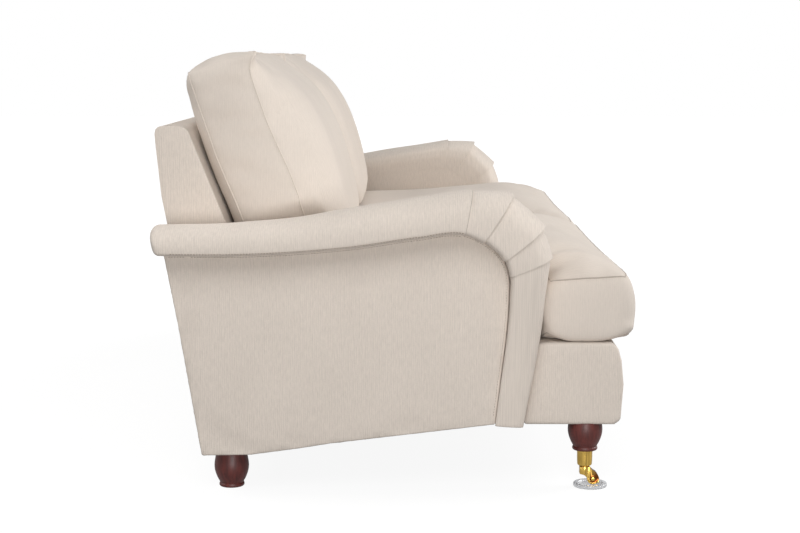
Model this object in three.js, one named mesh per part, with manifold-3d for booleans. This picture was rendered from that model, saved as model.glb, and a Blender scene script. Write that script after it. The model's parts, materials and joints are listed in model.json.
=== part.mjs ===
// English roll arm sofa: timber frame, upholstered arms and back, loose cushions, turned legs
// and brass castors standing in clear cups. Millimetres, X along the seat, Y to the back, Z up.
// The origin is on the floor under the middle, and the left arm is the one at -X.
import * as THREE from "three";
import { mergeVertices } from "three/addons/utils/BufferGeometryUtils.js";
import Module from "manifold-3d";

const wasm = await Module();
wasm.setup();

// Overall sizes
const sofaWidth = 2136;
const sofaDepth = 992;
const armHeight = 628;
const backHeight = 749;
const cushionTopHeight = 905;
const fitGap = 0.3; // between pieces that touch

// Arms
const armWidth = 120;
const rollOverhang = 68; // roll past the arm's outer face
const outerPanelThickness = 12;
const innerPanelThickness = 25;
const rollPadInner = 25;
const rollDome = 14; // rounded rear end
const armTopRailThickness = 22;
const armFrontPostDepth = 44;
const armRearPostDepth = 60;

// Back
const backThickness = 104; // at the arms' height
const backRake = 21.7; // degrees, front face
const backSideGap = 4; // to each arm
const backPad = 25;
const backSideWall = 20;
const backTopWall = 20;
const backCornerRadius = 16;
const outerBackThickness = 10;
const backPostWidth = 32;
const backTopRailHeight = 36;

// Seat platform
const deckHeight = 309;
const deckPad = 14;
const springWire = 4;
const springSwing = 22;
const springRows = 10;
const springTurns = 9;
const sideRailWidth = 30;
const frontRailDepth = 28;
const rearRailDepth = 28;
const rearRailHeight = 120;
const bottomRailDepth = 28;
const centreRailWidth = 30;
const centreRailHeight = 100;
const centreRailDrop = 25; // below the springs' rails
const dustCoverThickness = 1.5;
const dustCoverGap = 4; // round the pillars

// Front border under the cushions
const borderSetback = 21; // behind the cushions' front
const borderWall = 28;
const borderSideWall = 15;
const borderInset = 35; // from the arm's outer face
const borderBulge = 13;
const wingGap = 2;

// Legs
const legInset = 70; // leg axis from the arm's outer face
const frontLegSetback = 96;
const rearLegSetback = 54;
const legRadius = 36;
const hangerBoltRadius = 4;
const hangerBoltInLeg = 30;
const hangerBoltInRail = 40;
const boltClearance = 0.3;
const boltChamfer = 1;

// Castors
const castorHeight = 78; // floor to the foot of the wooden leg
const ferruleTopRadius = 15.9;
const ferruleFootRadius = 14.7;
const ferruleHeight = 33;
const ferruleWall = 3.1;
const ferruleFloor = 7;
const ferruleNeckRadius = 7.6;
const ferruleNeckHeight = 3;
const stemRadius = 4;
const hornBossRadius = 10.4;
const hornBossHeight = 14.7;
const hornWidth = 17.6;
const hornReach = 14; // front of the horn, from the axle
const wheelRadius = 12.5;
const wheelWidth = 11;
const wheelRounding = 1.5;
const wheelTrail = 17.5; // axle in front of the stem
const wheelClearance = 0.5;
const wheelHubRadius = 5.5;
const wheelHubHeight = 0.3;
const axleRadius = 2;
const axleClearance = 0.08;
const axleHeadRadius = 3.6;
const axleHeadHeight = 1;
const cupRadius = 35;
const cupHeight = 7;
const cupFloor = 3.2;
const cupRimWidth = 9;
const cupEase = 1; // eased edges
const cupOffset = 12; // cup centre in front of the stem

// Cushions
const cushionGap = 3; // between the pair
const cushionArmGap = 4;
const cushionInnerBulge = 2; // boxing towards a neighbour
const seatEdgeHeight = 445;
const seatEdgeRise = 18; // seam higher between its corners
const seatCrownRise = 26; // crown above the seams
const seatCrownReach = 230;
const seatFrontSetback = 18; // top seam behind the boxing's bulge
const seatFrontDraw = 18;
const seatSideDraw = 7;
const seatBackGap = 6;
const earGap = 5;
const earInset = 44; // from the arm's outer face
const earBulge = 8;
const cushionCorner = 26;
const backCushionRake = 18; // degrees
const backCushionBox = 130; // boxing width
const backCushionCrown = 66;
const backCushionFootCrown = 34; // fuller towards the foot of its front
const backCushionRearCrown = 17;
const backCushionReach = 62;
const backCushionBulge = 8;
const backCushionSeamDraw = 16; // front seam further back between its corners
const backCushionSag = 62; // lower edge below its corners
const backCushionTopBow = 12;
const backCushionSideDraw = 8;
const backCushionSideGap = 24;
const backCushionFloor = 1; // above the seat cushion's crown

// Stations along the roll, from its rear end over the top and down the front, as the seam with
// the outer panel, the crown of the roll and the share of the overhang. Places are shares of
// the sofa's depth from its front and of the arm's height.
const rollStationShares = [
  [0.968, 0.795, 0.979, 0.885, 1],
  [0.811, 0.795, 0.811, 0.895, 1],
  [0.689, 0.804, 0.69, 0.916, 1],
  [0.567, 0.822, 0.567, 0.951, 1],
  [0.45, 0.849, 0.445, 0.979, 1],
  [0.356, 0.86, 0.34, 1, 1],
  [0.319, 0.836, 0.253, 0.975, 0.97],
  [0.276, 0.777, 0.195, 0.879, 0.86],
  [0.263, 0.725, 0.182, 0.761, 0.68],
  [0.262, 0.653, 0.187, 0.677, 0.52],
  [0.266, 0.541, 0.196, 0.549, 0.35],
  [0.275, 0.417, 0.209, 0.417, 0.2],
  [0.289, 0.2325, 0.231, 0.226, 0.12],
];
const pillarTopShare = 0.74; // of the arm's height
const armTopRailFrontShare = 0.31; // of the sofa's depth
const stepsPerStretch = 2;

// The roll's section: shares of the arm's width from its inner face, or of the overhang past
// its outer face, each with a share of the way from seam to crown
const rollInnerShares = [[0, 0], [0, 0.5], [0.06, 0.78], [0.25, 0.93], [0.54, 0.99], [0.875, 1]];
const rollOuterShares = [
  [0.35, 0.93], [0.72, 0.76], [0.95, 0.52], [1, 0.3], [0.88, 0.08], [0.58, -0.06], [0.22, -0.07], [0, 0],
];
const rollHollowShare = 0.55; // height of the hollow that takes the arm's timber
const rollDomeShares = [[1, 0.74], [0.7, 0.9]]; // of the dome's length and of the section

// Lower edge and rear line of the sofa's side, as shares of its depth and of the arm's height
const lowerEdgeShares = [
  [0, 0.223], [0.23, 0.223], [0.289, 0.2325], [0.403, 0.22], [0.486, 0.21], [0.569, 0.199],
  [0.63, 0.191], [0.692, 0.178], [0.744, 0.1545], [0.795, 0.1306], [0.895, 0.1306],
];
const rearLineShares = [
  [0.896, 0.1306], [0.917, 0.3264], [0.9405, 0.5605], [0.968, 0.795],
  [0.988, 0.96], [0.998, 1.119], [1, 1.16],
];

// Turned leg: shares of its radius and of its height
const legProfileShares = [
  [0.62, 0], [0.7, 0.04], [0.72, 0.08], [0.69, 0.12], [0.7, 0.15], [0.79, 0.28], [0.9, 0.46],
  [0.98, 0.65], [1, 0.8], [0.98, 0.92], [0.94, 1],
];
// Rounded front of the border: shares of its bulge and of its height
const borderFrontShares = [
  [-0.75, 0], [0.15, 0.06], [0.75, 0.22], [1, 0.48], [0.62, 0.78], [0, 0.95], [-1, 1],
];
const borderBackShares = [1, 0.66, 0.33, 0];
// Horn's round end, from over the axle forward and down, as shares of a half turn and of the
// reach, then its rear edge as shares of the trail and of the horn's height
const hornArcShares = [
  [0, 1.42], [0.12, 1.25], [0.24, 1.08], [0.37, 1.01], [0.5, 1], [0.62, 0.97], [0.74, 0.88], [0.87, 0.76],
  [1, 0.72], [1.15, 0.74],
];
const hornBackShares = [[-0.42, 0.25], [-0.26, 0.47], [0.09, 0.59]];

// Cushions: places along a long and a short side between the roundings of its corners, and
// rings over the boxing as shares of its bulge and of its height
const longStepShares = [0, 0.1, 0.25, 0.42, 0.58, 0.75, 0.9, 1];
const shortStepShares = [0, 0.5, 1];
const boxRingShares = [[0.6, 0.1], [0.95, 0.32], [1, 0.55], [0.7, 0.82]];

// Facets
const easedSteps = 3;
const legSides = 20;
const boltSides = 12;
const castorSides = 20;
const springSides = 4;
const springStepsPerCorner = 2;
const longSideCorners = 6; // roundings that a long side is longer than

// Derived places
const halfOut = sofaWidth / 2 - rollOverhang;
const halfIn = halfOut - armWidth;
const frontY = -sofaDepth / 2;
const legX = halfOut - legInset;
const railTop = deckHeight - deckPad - springWire - 2 * fitGap;
const railInner = legX - sideRailWidth / 2;
const railOuter = legX + sideRailWidth / 2;
const panelInner = halfOut - outerPanelThickness;
const backHalf = halfIn - backSideGap;
const postOuter = backHalf - backSideWall - fitGap;
const postInner = postOuter - backPostWidth;
const seatCrownHeight = seatEdgeHeight + seatEdgeRise + seatCrownRise;
const rad = THREE.MathUtils.degToRad;

const placeY = (share) => frontY + share * sofaDepth;
const placeZ = (share) => share * armHeight;
const sidePoints = (shares) => shares.map(([y, z]) => new THREE.Vector2(placeY(y), placeZ(z)));
const seamPoints = sidePoints(rollStationShares.map(([y, z]) => [y, z]));
const crownPoints = sidePoints(rollStationShares.map(([, , y, z]) => [y, z]));
const lowerEdge = sidePoints(lowerEdgeShares);
const rearLine = sidePoints(rearLineShares);

// Value on a run of points at a given place, straight between them
function between(points, from, to, at) {
  let k = 1;
  while (k < points.length - 1 && points[k][from] < at) k += 1;
  const [a, b] = [points[k - 1], points[k]];
  const share = THREE.MathUtils.clamp((at - a[from]) / (b[from] - a[from]), 0, 1);
  return a[to] + share * (b[to] - a[to]);
}
const rearY = (z) => between(rearLine, "y", "x", z);
const underZ = (y) => between(lowerEdge, "x", "y", y);
const faceY = (z) => rearY(armHeight) - backThickness + (z - armHeight) * Math.tan(rad(backRake));
const frameBottom = (y) => underZ(y) + dustCoverThickness + 2 * fitGap;

// Looks of the finishes
const fabric = (color) => new THREE.MeshStandardMaterial({ color, roughness: 0.9, metalness: 0 });
const linen = fabric(0xd6cabb);
const linenShade = fabric(0xc9bdaf);
const cambric = fabric(0x2b2b2d);
const pine = new THREE.MeshStandardMaterial({ color: 0xcfae7c, roughness: 0.8, metalness: 0 });
const mahogany = new THREE.MeshStandardMaterial({ color: 0x583430, roughness: 0.35, metalness: 0 });
const brass = new THREE.MeshStandardMaterial({ color: 0xb8953f, roughness: 0.25, metalness: 1 });
const steel = new THREE.MeshStandardMaterial({ color: 0x8d9094, roughness: 0.4, metalness: 1 });
const clear = new THREE.MeshStandardMaterial({
  color: 0xe6ebee, roughness: 0.1, metalness: 0, transparent: true, opacity: 0.4,
});

const sofa = new THREE.Group();
sofa.name = "english_roll_arm_sofa";

function add(name, geometry, material, parent = sofa) {
  const mesh = new THREE.Mesh(geometry, material);
  mesh.name = name;
  parent.add(mesh);
  return mesh;
}

// Solid geometry helpers
function block(x, y, z) {
  const geometry = new THREE.BoxGeometry(x[1] - x[0], y[1] - y[0], z[1] - z[0]);
  return geometry.translate((x[0] + x[1]) / 2, (y[0] + y[1]) / 2, (z[0] + z[1]) / 2);
}

// An outline of [y, z] points carried along X
function across(outline, x) {
  const shape = new THREE.Shape(outline.map(([y, z]) => new THREE.Vector2(y, z)));
  const geometry = new THREE.ExtrudeGeometry(shape, { depth: x[1] - x[0], bevelEnabled: false, steps: 1 });
  const turn = new THREE.Matrix4().makeBasis(
    new THREE.Vector3(0, 1, 0), new THREE.Vector3(0, 0, 1), new THREE.Vector3(1, 0, 0));
  return geometry.applyMatrix4(turn).translate(x[0], 0, 0);
}

// A profile of [radius, z] points turned about an upright axis
function turned(profile, sides) {
  const points = profile.map(([r, z]) => new THREE.Vector2(r, z));
  return new THREE.LatheGeometry(points, sides).rotateX(Math.PI / 2);
}

function rod(radius, x, y, z, sides) {
  return new THREE.CylinderGeometry(radius, radius, x[1] - x[0], sides)
    .rotateZ(Math.PI / 2).translate((x[0] + x[1]) / 2, y, z);
}

function upright(radius, x, y, z, sides) {
  return new THREE.CylinderGeometry(radius, radius, z[1] - z[0], sides)
    .rotateX(Math.PI / 2).translate(x, y, (z[0] + z[1]) / 2);
}

function skin(vertices, faces) {
  const geometry = new THREE.BufferGeometry();
  geometry.setAttribute("position", new THREE.Float32BufferAttribute(vertices, 3));
  geometry.setIndex(faces);
  return geometry;
}

// Rings of points joined into one closed body
function loft(rings) {
  const count = rings[0].length;
  const vertices = rings.flat().flatMap((p) => [p.x, p.y, p.z]);
  const faces = [];
  for (let r = 0; r + 1 < rings.length; r += 1) {
    for (let k = 0; k < count; k += 1) {
      const [a, b] = [r * count + k, r * count + ((k + 1) % count)];
      faces.push(a, b, b + count, a, b + count, a + count);
    }
  }
  for (const [ring, flip] of [[0, true], [rings.length - 1, false]]) {
    const middle = rings[ring].reduce((sum, p) => sum.add(p), new THREE.Vector3()).divideScalar(count);
    const hub = vertices.length / 3;
    vertices.push(middle.x, middle.y, middle.z);
    for (let k = 0; k < count; k += 1) {
      const [a, b] = [ring * count + k, ring * count + ((k + 1) % count)];
      faces.push(...(flip ? [hub, b, a] : [hub, a, b]));
    }
  }
  return skin(vertices, faces);
}

// The same body with shared corners and nothing but positions
function bare(geometry) {
  const copy = geometry.clone();
  copy.deleteAttribute("normal");
  copy.deleteAttribute("uv");
  return mergeVertices(copy);
}

function mirrored(geometry) {
  const copy = bare(geometry).applyMatrix4(new THREE.Matrix4().makeScale(-1, 1, 1));
  const order = copy.index.array;
  for (let k = 0; k < order.length; k += 3) [order[k], order[k + 1]] = [order[k + 1], order[k]];
  return copy;
}

// Joins and cuts
function solid(geometry) {
  const body = bare(geometry);
  return new wasm.Manifold(new wasm.Mesh({
    numProp: 3,
    vertProperties: new Float32Array(body.attributes.position.array),
    triVerts: new Uint32Array(body.index.array),
  }));
}

function shell(manifold) {
  const { vertProperties, triVerts } = manifold.getMesh();
  const geometry = new THREE.BufferGeometry();
  geometry.setAttribute("position", new THREE.BufferAttribute(vertProperties, 3));
  geometry.setIndex(new THREE.BufferAttribute(triVerts, 1));
  return geometry;
}

function cut(geometry, ...tools) {
  return shell(tools.reduce((body, tool) => body.subtract(solid(tool)), solid(geometry)));
}

function join(geometry, ...others) {
  return shell(others.reduce((body, other) => body.add(solid(other)), solid(geometry)));
}

// The same piece for both arms or both front corners, made for the left and mirrored
function pair(name, geometry, material) {
  add(`${name}_left`, geometry, material);
  add(`${name}_right`, mirrored(geometry), material);
}

const overrun = 5; // tools past the faces they cut
const leftX = (near, far) => [-far, -near];

// Seam and crown of the roll, smoothly between the stations
function rollCurve(points) {
  const spots = points.map((p) => new THREE.Vector3(0, p.x, p.y));
  const curve = new THREE.CatmullRomCurve3(spots, false, "centripetal");
  const steps = (points.length - 1) * stepsPerStretch;
  return Array.from({ length: steps + 1 }, (_, k) => curve.getPoint(k / steps));
}
const seam = rollCurve(seamPoints);
const crown = rollCurve(crownPoints);
const seamOutline = seam.map((p) => [p.y, p.z]);
const uprightRun = (run) => run.filter((p) => p.z < placeZ(pillarTopShare)).reverse();
const pillarBackY = (z) => between(uprightRun(seam), "z", "y", z);
const pillarFrontY = (z) => between(uprightRun(crown), "z", "y", z);

// Roll and front pillar of one arm as a single upholstered band, hollow for the arm's timber
function armRoll() {
  const overhangs = rollStationShares.map((station) => station[4]);
  const rings = seam.map((low, k) => {
    const station = Math.min(Math.floor(k / stepsPerStretch), overhangs.length - 2);
    const along = k / stepsPerStretch - station;
    const overhang = rollOverhang * THREE.MathUtils.lerp(overhangs[station], overhangs[station + 1], along);
    const spot = (x, share) => low.clone().lerp(crown[k], share).setX(-x);
    return [
      ...rollInnerShares.map(([w, h]) => spot(halfIn + w * armWidth, h)),
      ...rollOuterShares.map(([w, h]) => spot(halfOut + w * overhang, h)),
    ];
  });
  const middle = new THREE.Vector3();
  rings[0].forEach((p) => middle.add(p));
  middle.divideScalar(rings[0].length);
  const dome = rollDomeShares.map(([out, size]) => rings[0].map((p) => p.clone().sub(middle)
    .multiplyScalar(size).add(middle).add(new THREE.Vector3(0, out * rollDome, 0))));
  const body = loft([...dome, ...rings]);
  const inside = (share) => seam.map((low, k) => low.clone().lerp(crown[k], share)).slice(0, -1);
  const roof = inside(rollHollowShare);
  const floor = inside(-rollHollowShare);
  const hollow = across(
    [...roof.map((p) => [p.y, p.z]), ...floor.reverse().map((p) => [p.y, p.z])],
    leftX(halfIn + rollPadInner, panelInner));
  const railWay = block(
    leftX(railInner - 2 * fitGap, railOuter + 2 * fitGap),
    [placeY(0) - overrun, placeY(1)], [0, railTop + 2 * fitGap]);
  return cut(body, hollow, railWay);
}

// Points of a run pushed square to it, towards the middle of the arm
function inset(points, distance) {
  return points.map((p, k) => {
    const before = points[Math.max(k - 1, 0)];
    const after = points[Math.min(k + 1, points.length - 1)];
    const run = new THREE.Vector2(after[0] - before[0], after[1] - before[1]).normalize();
    return [p[0] - run.y * distance, p[1] + run.x * distance];
  });
}

function arms() {
  const under = inset(seamOutline, fitGap);
  const foot = underZ(rearLine[0].x);
  const bottom = lowerEdge.filter((p) => p.x > under.at(-1)[0] && p.x < rearLine[0].x).map((p) => [p.x, p.y]);
  pair("arm_roll", armRoll(), linen);
  pair("outer_arm_panel", across(
    [...under, ...bottom, ...rearRun(foot, under[0][1], 0).slice(1).reverse()],
    leftX(panelInner + fitGap, halfOut)), linenShade);

  // Inside the back's outer panel, the same upper edge starts a little further forward
  const startY = rearY(under[0][1]) - rearInset;
  const inside = [[startY, under[0][1]], ...under.slice(1)];
  const panelFoot = railTop + fitGap;
  pair("inner_arm_panel", across(
    [...inside.filter(([, z]) => z > panelFoot), [pillarBackY(panelFoot) + fitGap, panelFoot],
      ...rearRun(panelFoot, under[0][1], rearInset).slice(1).reverse()],
    leftX(halfIn, halfIn + innerPanelThickness)), linen);

  // Timber inside the arm: a shaped top rail on two posts
  const timber = leftX(railOuter + fitGap, panelInner);
  const topRun = inside.filter(([y]) => y > placeY(armTopRailFrontShare));
  const railFoot = Math.min(...topRun.map(([, z]) => z)) - armTopRailThickness;
  pair("arm_top_rail", across(
    [...topRun, [topRun.at(-1)[0], railFoot], ...rearRun(railFoot, under[0][1], rearInset).slice(1).reverse()],
    leftX(halfIn + innerPanelThickness + fitGap, panelInner)), pine);

  const postTop = railFoot - fitGap;
  const frontRun = under.filter(([y, z]) => z < postTop && y < topRun.at(-1)[0]).slice(0, -1);
  const [footY, footZ] = frontRun.at(-1);
  pair("arm_front_post", across([
    [pillarBackY(postTop) + fitGap, postTop], ...frontRun,
    [footY + armFrontPostDepth, footZ], [frontRun[0][0] + armFrontPostDepth, postTop],
  ], timber), pine);

  const rearPostFoot = frameBottom(rearLine[0].x);
  const rearEdge = rearRun(rearPostFoot, postTop, rearInset);
  pair("arm_rear_post", across(
    [...rearEdge, ...rearEdge.map(([y, z]) => [y - armRearPostDepth, z]).reverse()], timber), pine);
}

// A corner of an outline eased by a curve that starts and ends a reach away from it
function eased(before, corner, after, reach) {
  const [a, c, b] = [before, corner, after].map(([u, v]) => new THREE.Vector2(u, v));
  const start = a.sub(c).setLength(reach).add(c);
  const end = b.sub(c).setLength(reach).add(c);
  return new THREE.QuadraticBezierCurve(start, c, end).getPoints(easedSteps).map((p) => [p.x, p.y]);
}

// Rear line between two heights, pushed forward by a distance, from the top down
function rearRun(low, high, forward) {
  const heights = [high, ...rearLine.map((p) => p.y).filter((z) => z > low && z < high).reverse(), low];
  return heights.map((z) => [rearY(z) - forward, z]);
}

const rearInset = outerBackThickness + fitGap;
const backStep = backHeight - backTopWall;

function back() {
  const low = deckHeight + fitGap;
  const frontTop = [faceY(backHeight), backHeight];
  const rearTop = [rearY(backHeight), backHeight];
  const cover = across([
    [faceY(low), low],
    ...eased([faceY(low), low], frontTop, rearTop, backCornerRadius),
    ...eased(frontTop, rearTop, [rearY(backStep), backStep], backCornerRadius),
    [rearY(backStep), backStep],
    ...rearRun(low, backStep, rearInset),
  ], [-backHalf, backHalf]);
  const hollow = across([
    [faceY(low - overrun) + backPad, low - overrun],
    [faceY(backStep) + backPad, backStep],
    [rearTop[0] + overrun, backStep],
    [rearTop[0] + overrun, low - overrun],
  ], [-backHalf + backSideWall, backHalf - backSideWall]);
  add("inner_back", cut(cover, hollow), linen);

  // Outside back: as wide as the arms below the rolls and as the back above them
  const foot = underZ(rearLine[0].x);
  const sheet = across([
    ...rearRun(foot, backStep - fitGap, 0),
    ...rearRun(foot, backStep - fitGap, outerBackThickness).reverse(),
  ], [-panelInner, panelInner]);
  const aboveArm = [seam[0].z - 2 * fitGap, backHeight];
  const depth = [rearLine[0].x - outerBackThickness - overrun, rearTop[0] + overrun];
  add("outer_back_panel", cut(
    sheet,
    block([-panelInner - overrun, -backHalf], depth, aboveArm),
    block([backHalf, panelInner + overrun], depth, aboveArm)), linenShade);

  // Raked posts on the seat frame, with a top rail between the outer two
  const postFoot = railTop + fitGap;
  const postTop = backStep - fitGap;
  const frontOf = (z) => faceY(z) + backPad + fitGap;
  const raked = (from, to) => [[frontOf(from), from], [frontOf(to), to], ...rearRun(from, to, rearInset)];
  const topRailFoot = postTop - backTopRailHeight;
  pair("back_post", across(raked(postFoot, postTop), leftX(postOuter - backPostWidth, postOuter)), pine);
  add("back_centre_post", across(
    raked(postFoot, topRailFoot - fitGap), [-backPostWidth / 2, backPostWidth / 2]), pine);
  add("back_top_rail", across(raked(topRailFoot, postTop), [-postInner + fitGap, postInner - fitGap]), pine);
}

// Places shared by the border, the rails and the legs
const borderFront = frontY + borderSetback;
const borderHalf = halfOut - borderInset;
const frontRailFront = borderFront + borderWall + fitGap;
const frontRailBack = frontRailFront + frontRailDepth;
const rearRailFront = faceY(railTop) + backPad + fitGap;
const rearRailBack = rearRailFront + rearRailDepth;
const legPlaces = {
  front: frontY + frontLegSetback,
  rear: rearLine[0].x - rearLegSetback,
};

function seatFrame() {
  const railBottom = frameBottom(frontRailFront);
  const frontHalf = borderHalf - borderSideWall - fitGap;
  add("front_seat_rail", block(
    [-frontHalf, frontHalf], [frontRailFront, frontRailBack], [railBottom, railTop]), pine);

  const sideFront = frontRailBack + fitGap;
  const lowRear = frameBottom(rearLine[0].x);
  const belows = lowerEdge.filter((p) => p.x > sideFront && p.x < rearLine[0].x - rearInset);
  const sideRail = across([
    [sideFront, railTop], [sideFront, frameBottom(sideFront)],
    ...belows.map((p) => [p.x, frameBottom(p.x)]),
    ...rearRun(lowRear, railTop, rearInset).reverse(),
  ], leftX(railInner, railOuter));
  const bores = Object.values(legPlaces).map((y) => upright(
    hangerBoltRadius + boltClearance, -legX, y,
    [frameBottom(y) - overrun, frameBottom(y) + hangerBoltInRail + boltClearance], boltSides));
  pair("side_rail", cut(sideRail, ...bores), pine);

  const crossHalf = railInner - fitGap;
  add("rear_seat_rail", block(
    [-crossHalf, crossHalf], [rearRailFront, rearRailBack], [railTop - rearRailHeight, railTop]), pine);
  const bottomBack = rearLine[0].x - rearInset;
  add("back_bottom_rail", block(
    [-crossHalf, crossHalf], [bottomBack - bottomRailDepth, bottomBack], [lowRear, railTop]), pine);
  const centreTop = railTop - centreRailDrop;
  add("centre_seat_rail", block(
    [-centreRailWidth / 2, centreRailWidth / 2], [sideFront, rearRailFront - fitGap],
    [centreTop - centreRailHeight, centreTop]), pine);
}

// One sinuous spring as a single wire from the front rail to the rear rail
function seatSpring(x) {
  const from = (frontRailFront + frontRailBack) / 2;
  const pitch = ((rearRailFront + rearRailBack) / 2 - from) / springTurns;
  const corners = Array.from({ length: springTurns }, (_, k) => {
    const side = x + Math.sign(x) * (k % 2 ? springSwing : -springSwing);
    return [0, 1].map((end) => new THREE.Vector3(side, from + (k + end) * pitch, 0));
  }).flat();
  const path = new THREE.CatmullRomCurve3(corners, false, "centripetal");
  const section = new THREE.Shape(Array.from({ length: springSides }, (_, k) => {
    const turn = (2 * Math.PI * k) / springSides;
    return new THREE.Vector2(Math.cos(turn), Math.sin(turn)).multiplyScalar(springWire / 2);
  }));
  const steps = corners.length * springStepsPerCorner;
  return new THREE.ExtrudeGeometry(section, { steps, extrudePath: path, bevelEnabled: false })
    .translate(0, 0, railTop + fitGap + springWire / 2);
}

function platform() {
  const pitch = (2 * postInner) / springRows;
  for (let k = 0; k < springRows; k += 1) {
    add(`seat_spring_${k + 1}`, seatSpring(-postInner + (k + 0.5) * pitch), steel);
  }

  const deckFoot = railTop + springWire + 2 * fitGap;
  const wingBack = (z) => pillarFrontY(z) - wingGap;
  const deckFront = Math.max(wingBack(deckFoot), wingBack(deckHeight)) + fitGap;
  const deckHalf = halfIn - 2 * fitGap;
  const deckBack = faceY(deckFoot) + backPad;
  add("seat_deck", block([-deckHalf, deckHalf], [deckFront, deckBack], [deckFoot, deckHeight]), linenShade);

  // Padded border round the front rail, open below and behind
  const low = underZ(borderFront);
  const heightAt = (up) => low + up * (deckHeight - low);
  const frontRun = borderFrontShares.map(([out, up]) => [borderFront + (1 - out) * borderBulge, heightAt(up)]);
  const backRun = borderBackShares.map(heightAt).map((z) => [wingBack(z), z]);
  const pad = across([...frontRun, ...backRun], [-borderHalf, borderHalf]);
  const hollowBack = Math.max(...backRun.map(([y]) => y)) + overrun;
  const hollow = block(
    [-borderHalf + borderSideWall, borderHalf - borderSideWall],
    [borderFront + borderWall, hollowBack], [low - overrun, deckFoot - fitGap]);
  add("front_border", cut(pad, hollow), linen);

  // Thin cloth under the frame, holed for the leg bolts and cut away round the pillars
  const rearEnd = rearLine[0].x - rearInset;
  const bends = lowerEdge.map((p) => p.x).filter((y) => y > frontRailFront && y < rearEnd);
  const under = [frontRailFront, ...bends, rearEnd].map((y) => [y, underZ(y) + fitGap]);
  const over = under.map(([y, z]) => [y, z + dustCoverThickness]);
  const sheet = across([...under, ...over.reverse()], [-panelInner, panelInner]);
  const holes = Object.values(legPlaces).flatMap((y) => [-legX, legX].map((x) => upright(
    hangerBoltRadius + boltClearance, x, y, [0, underZ(y) + dustCoverThickness + overrun], boltSides)));
  const pillarBack = pillarBackY(0) + dustCoverGap;
  const besidePillar = block(
    leftX(halfIn - dustCoverGap, halfOut), [pillarFrontY(0) - dustCoverGap, pillarBack], [0, railTop]);
  const besideBorder = block(
    leftX(borderHalf - borderSideWall - fitGap, halfOut), [frontY, pillarBack], [0, railTop]);
  add("dust_cover", cut(
    sheet, ...holes, besidePillar, mirrored(besidePillar), besideBorder, mirrored(besideBorder)), cambric);
}

// A turned leg with a bore for its bolt, on a spigot where it stands in a castor
function leg(foot, top, spigot) {
  const height = top - foot;
  const bore = hangerBoltRadius + boltClearance;
  const start = spigot ? [[0, spigot.foot], [spigot.radius, spigot.foot], [spigot.radius, foot]] : [[0, foot]];
  return turned([
    ...start,
    ...legProfileShares.map(([r, z]) => [r * legRadius, foot + z * height]),
    [bore, top], [bore, top - hangerBoltInLeg - boltClearance], [0, top - hangerBoltInLeg - boltClearance],
  ], legSides);
}

function hangerBolt(top) {
  const [low, high] = [top - hangerBoltInLeg, top + hangerBoltInRail];
  const tip = hangerBoltRadius - boltChamfer;
  return turned([
    [0, low], [tip, low], [hangerBoltRadius, low + boltChamfer],
    [hangerBoltRadius, high - boltChamfer], [tip, high], [0, high],
  ], boltSides);
}

const ferruleFoot = castorHeight - ferruleHeight;
const hornTop = ferruleFoot - ferruleNeckHeight - fitGap;
const axleHeight = cupFloor + fitGap + wheelRadius;

function legs() {
  const spigot = {
    radius: ferruleFootRadius - ferruleWall - fitGap,
    foot: ferruleFoot + ferruleFloor + fitGap,
  };
  for (const [side, x] of [["left", -legX], ["right", legX]]) {
    for (const [end, y] of Object.entries(legPlaces)) {
      const stand = new THREE.Group();
      stand.position.set(x, y, 0);
      sofa.add(stand);
      const top = underZ(y) - fitGap;
      const foot = end === "front" ? castorHeight : 0;
      add(`${end}_leg_${side}`, leg(foot, top, end === "front" ? spigot : null), mahogany, stand);
      add(`${end}_leg_bolt_${side}`, hangerBolt(top), steel, stand);
      if (end === "front") castor(side, stand);
    }
  }
}

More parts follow.
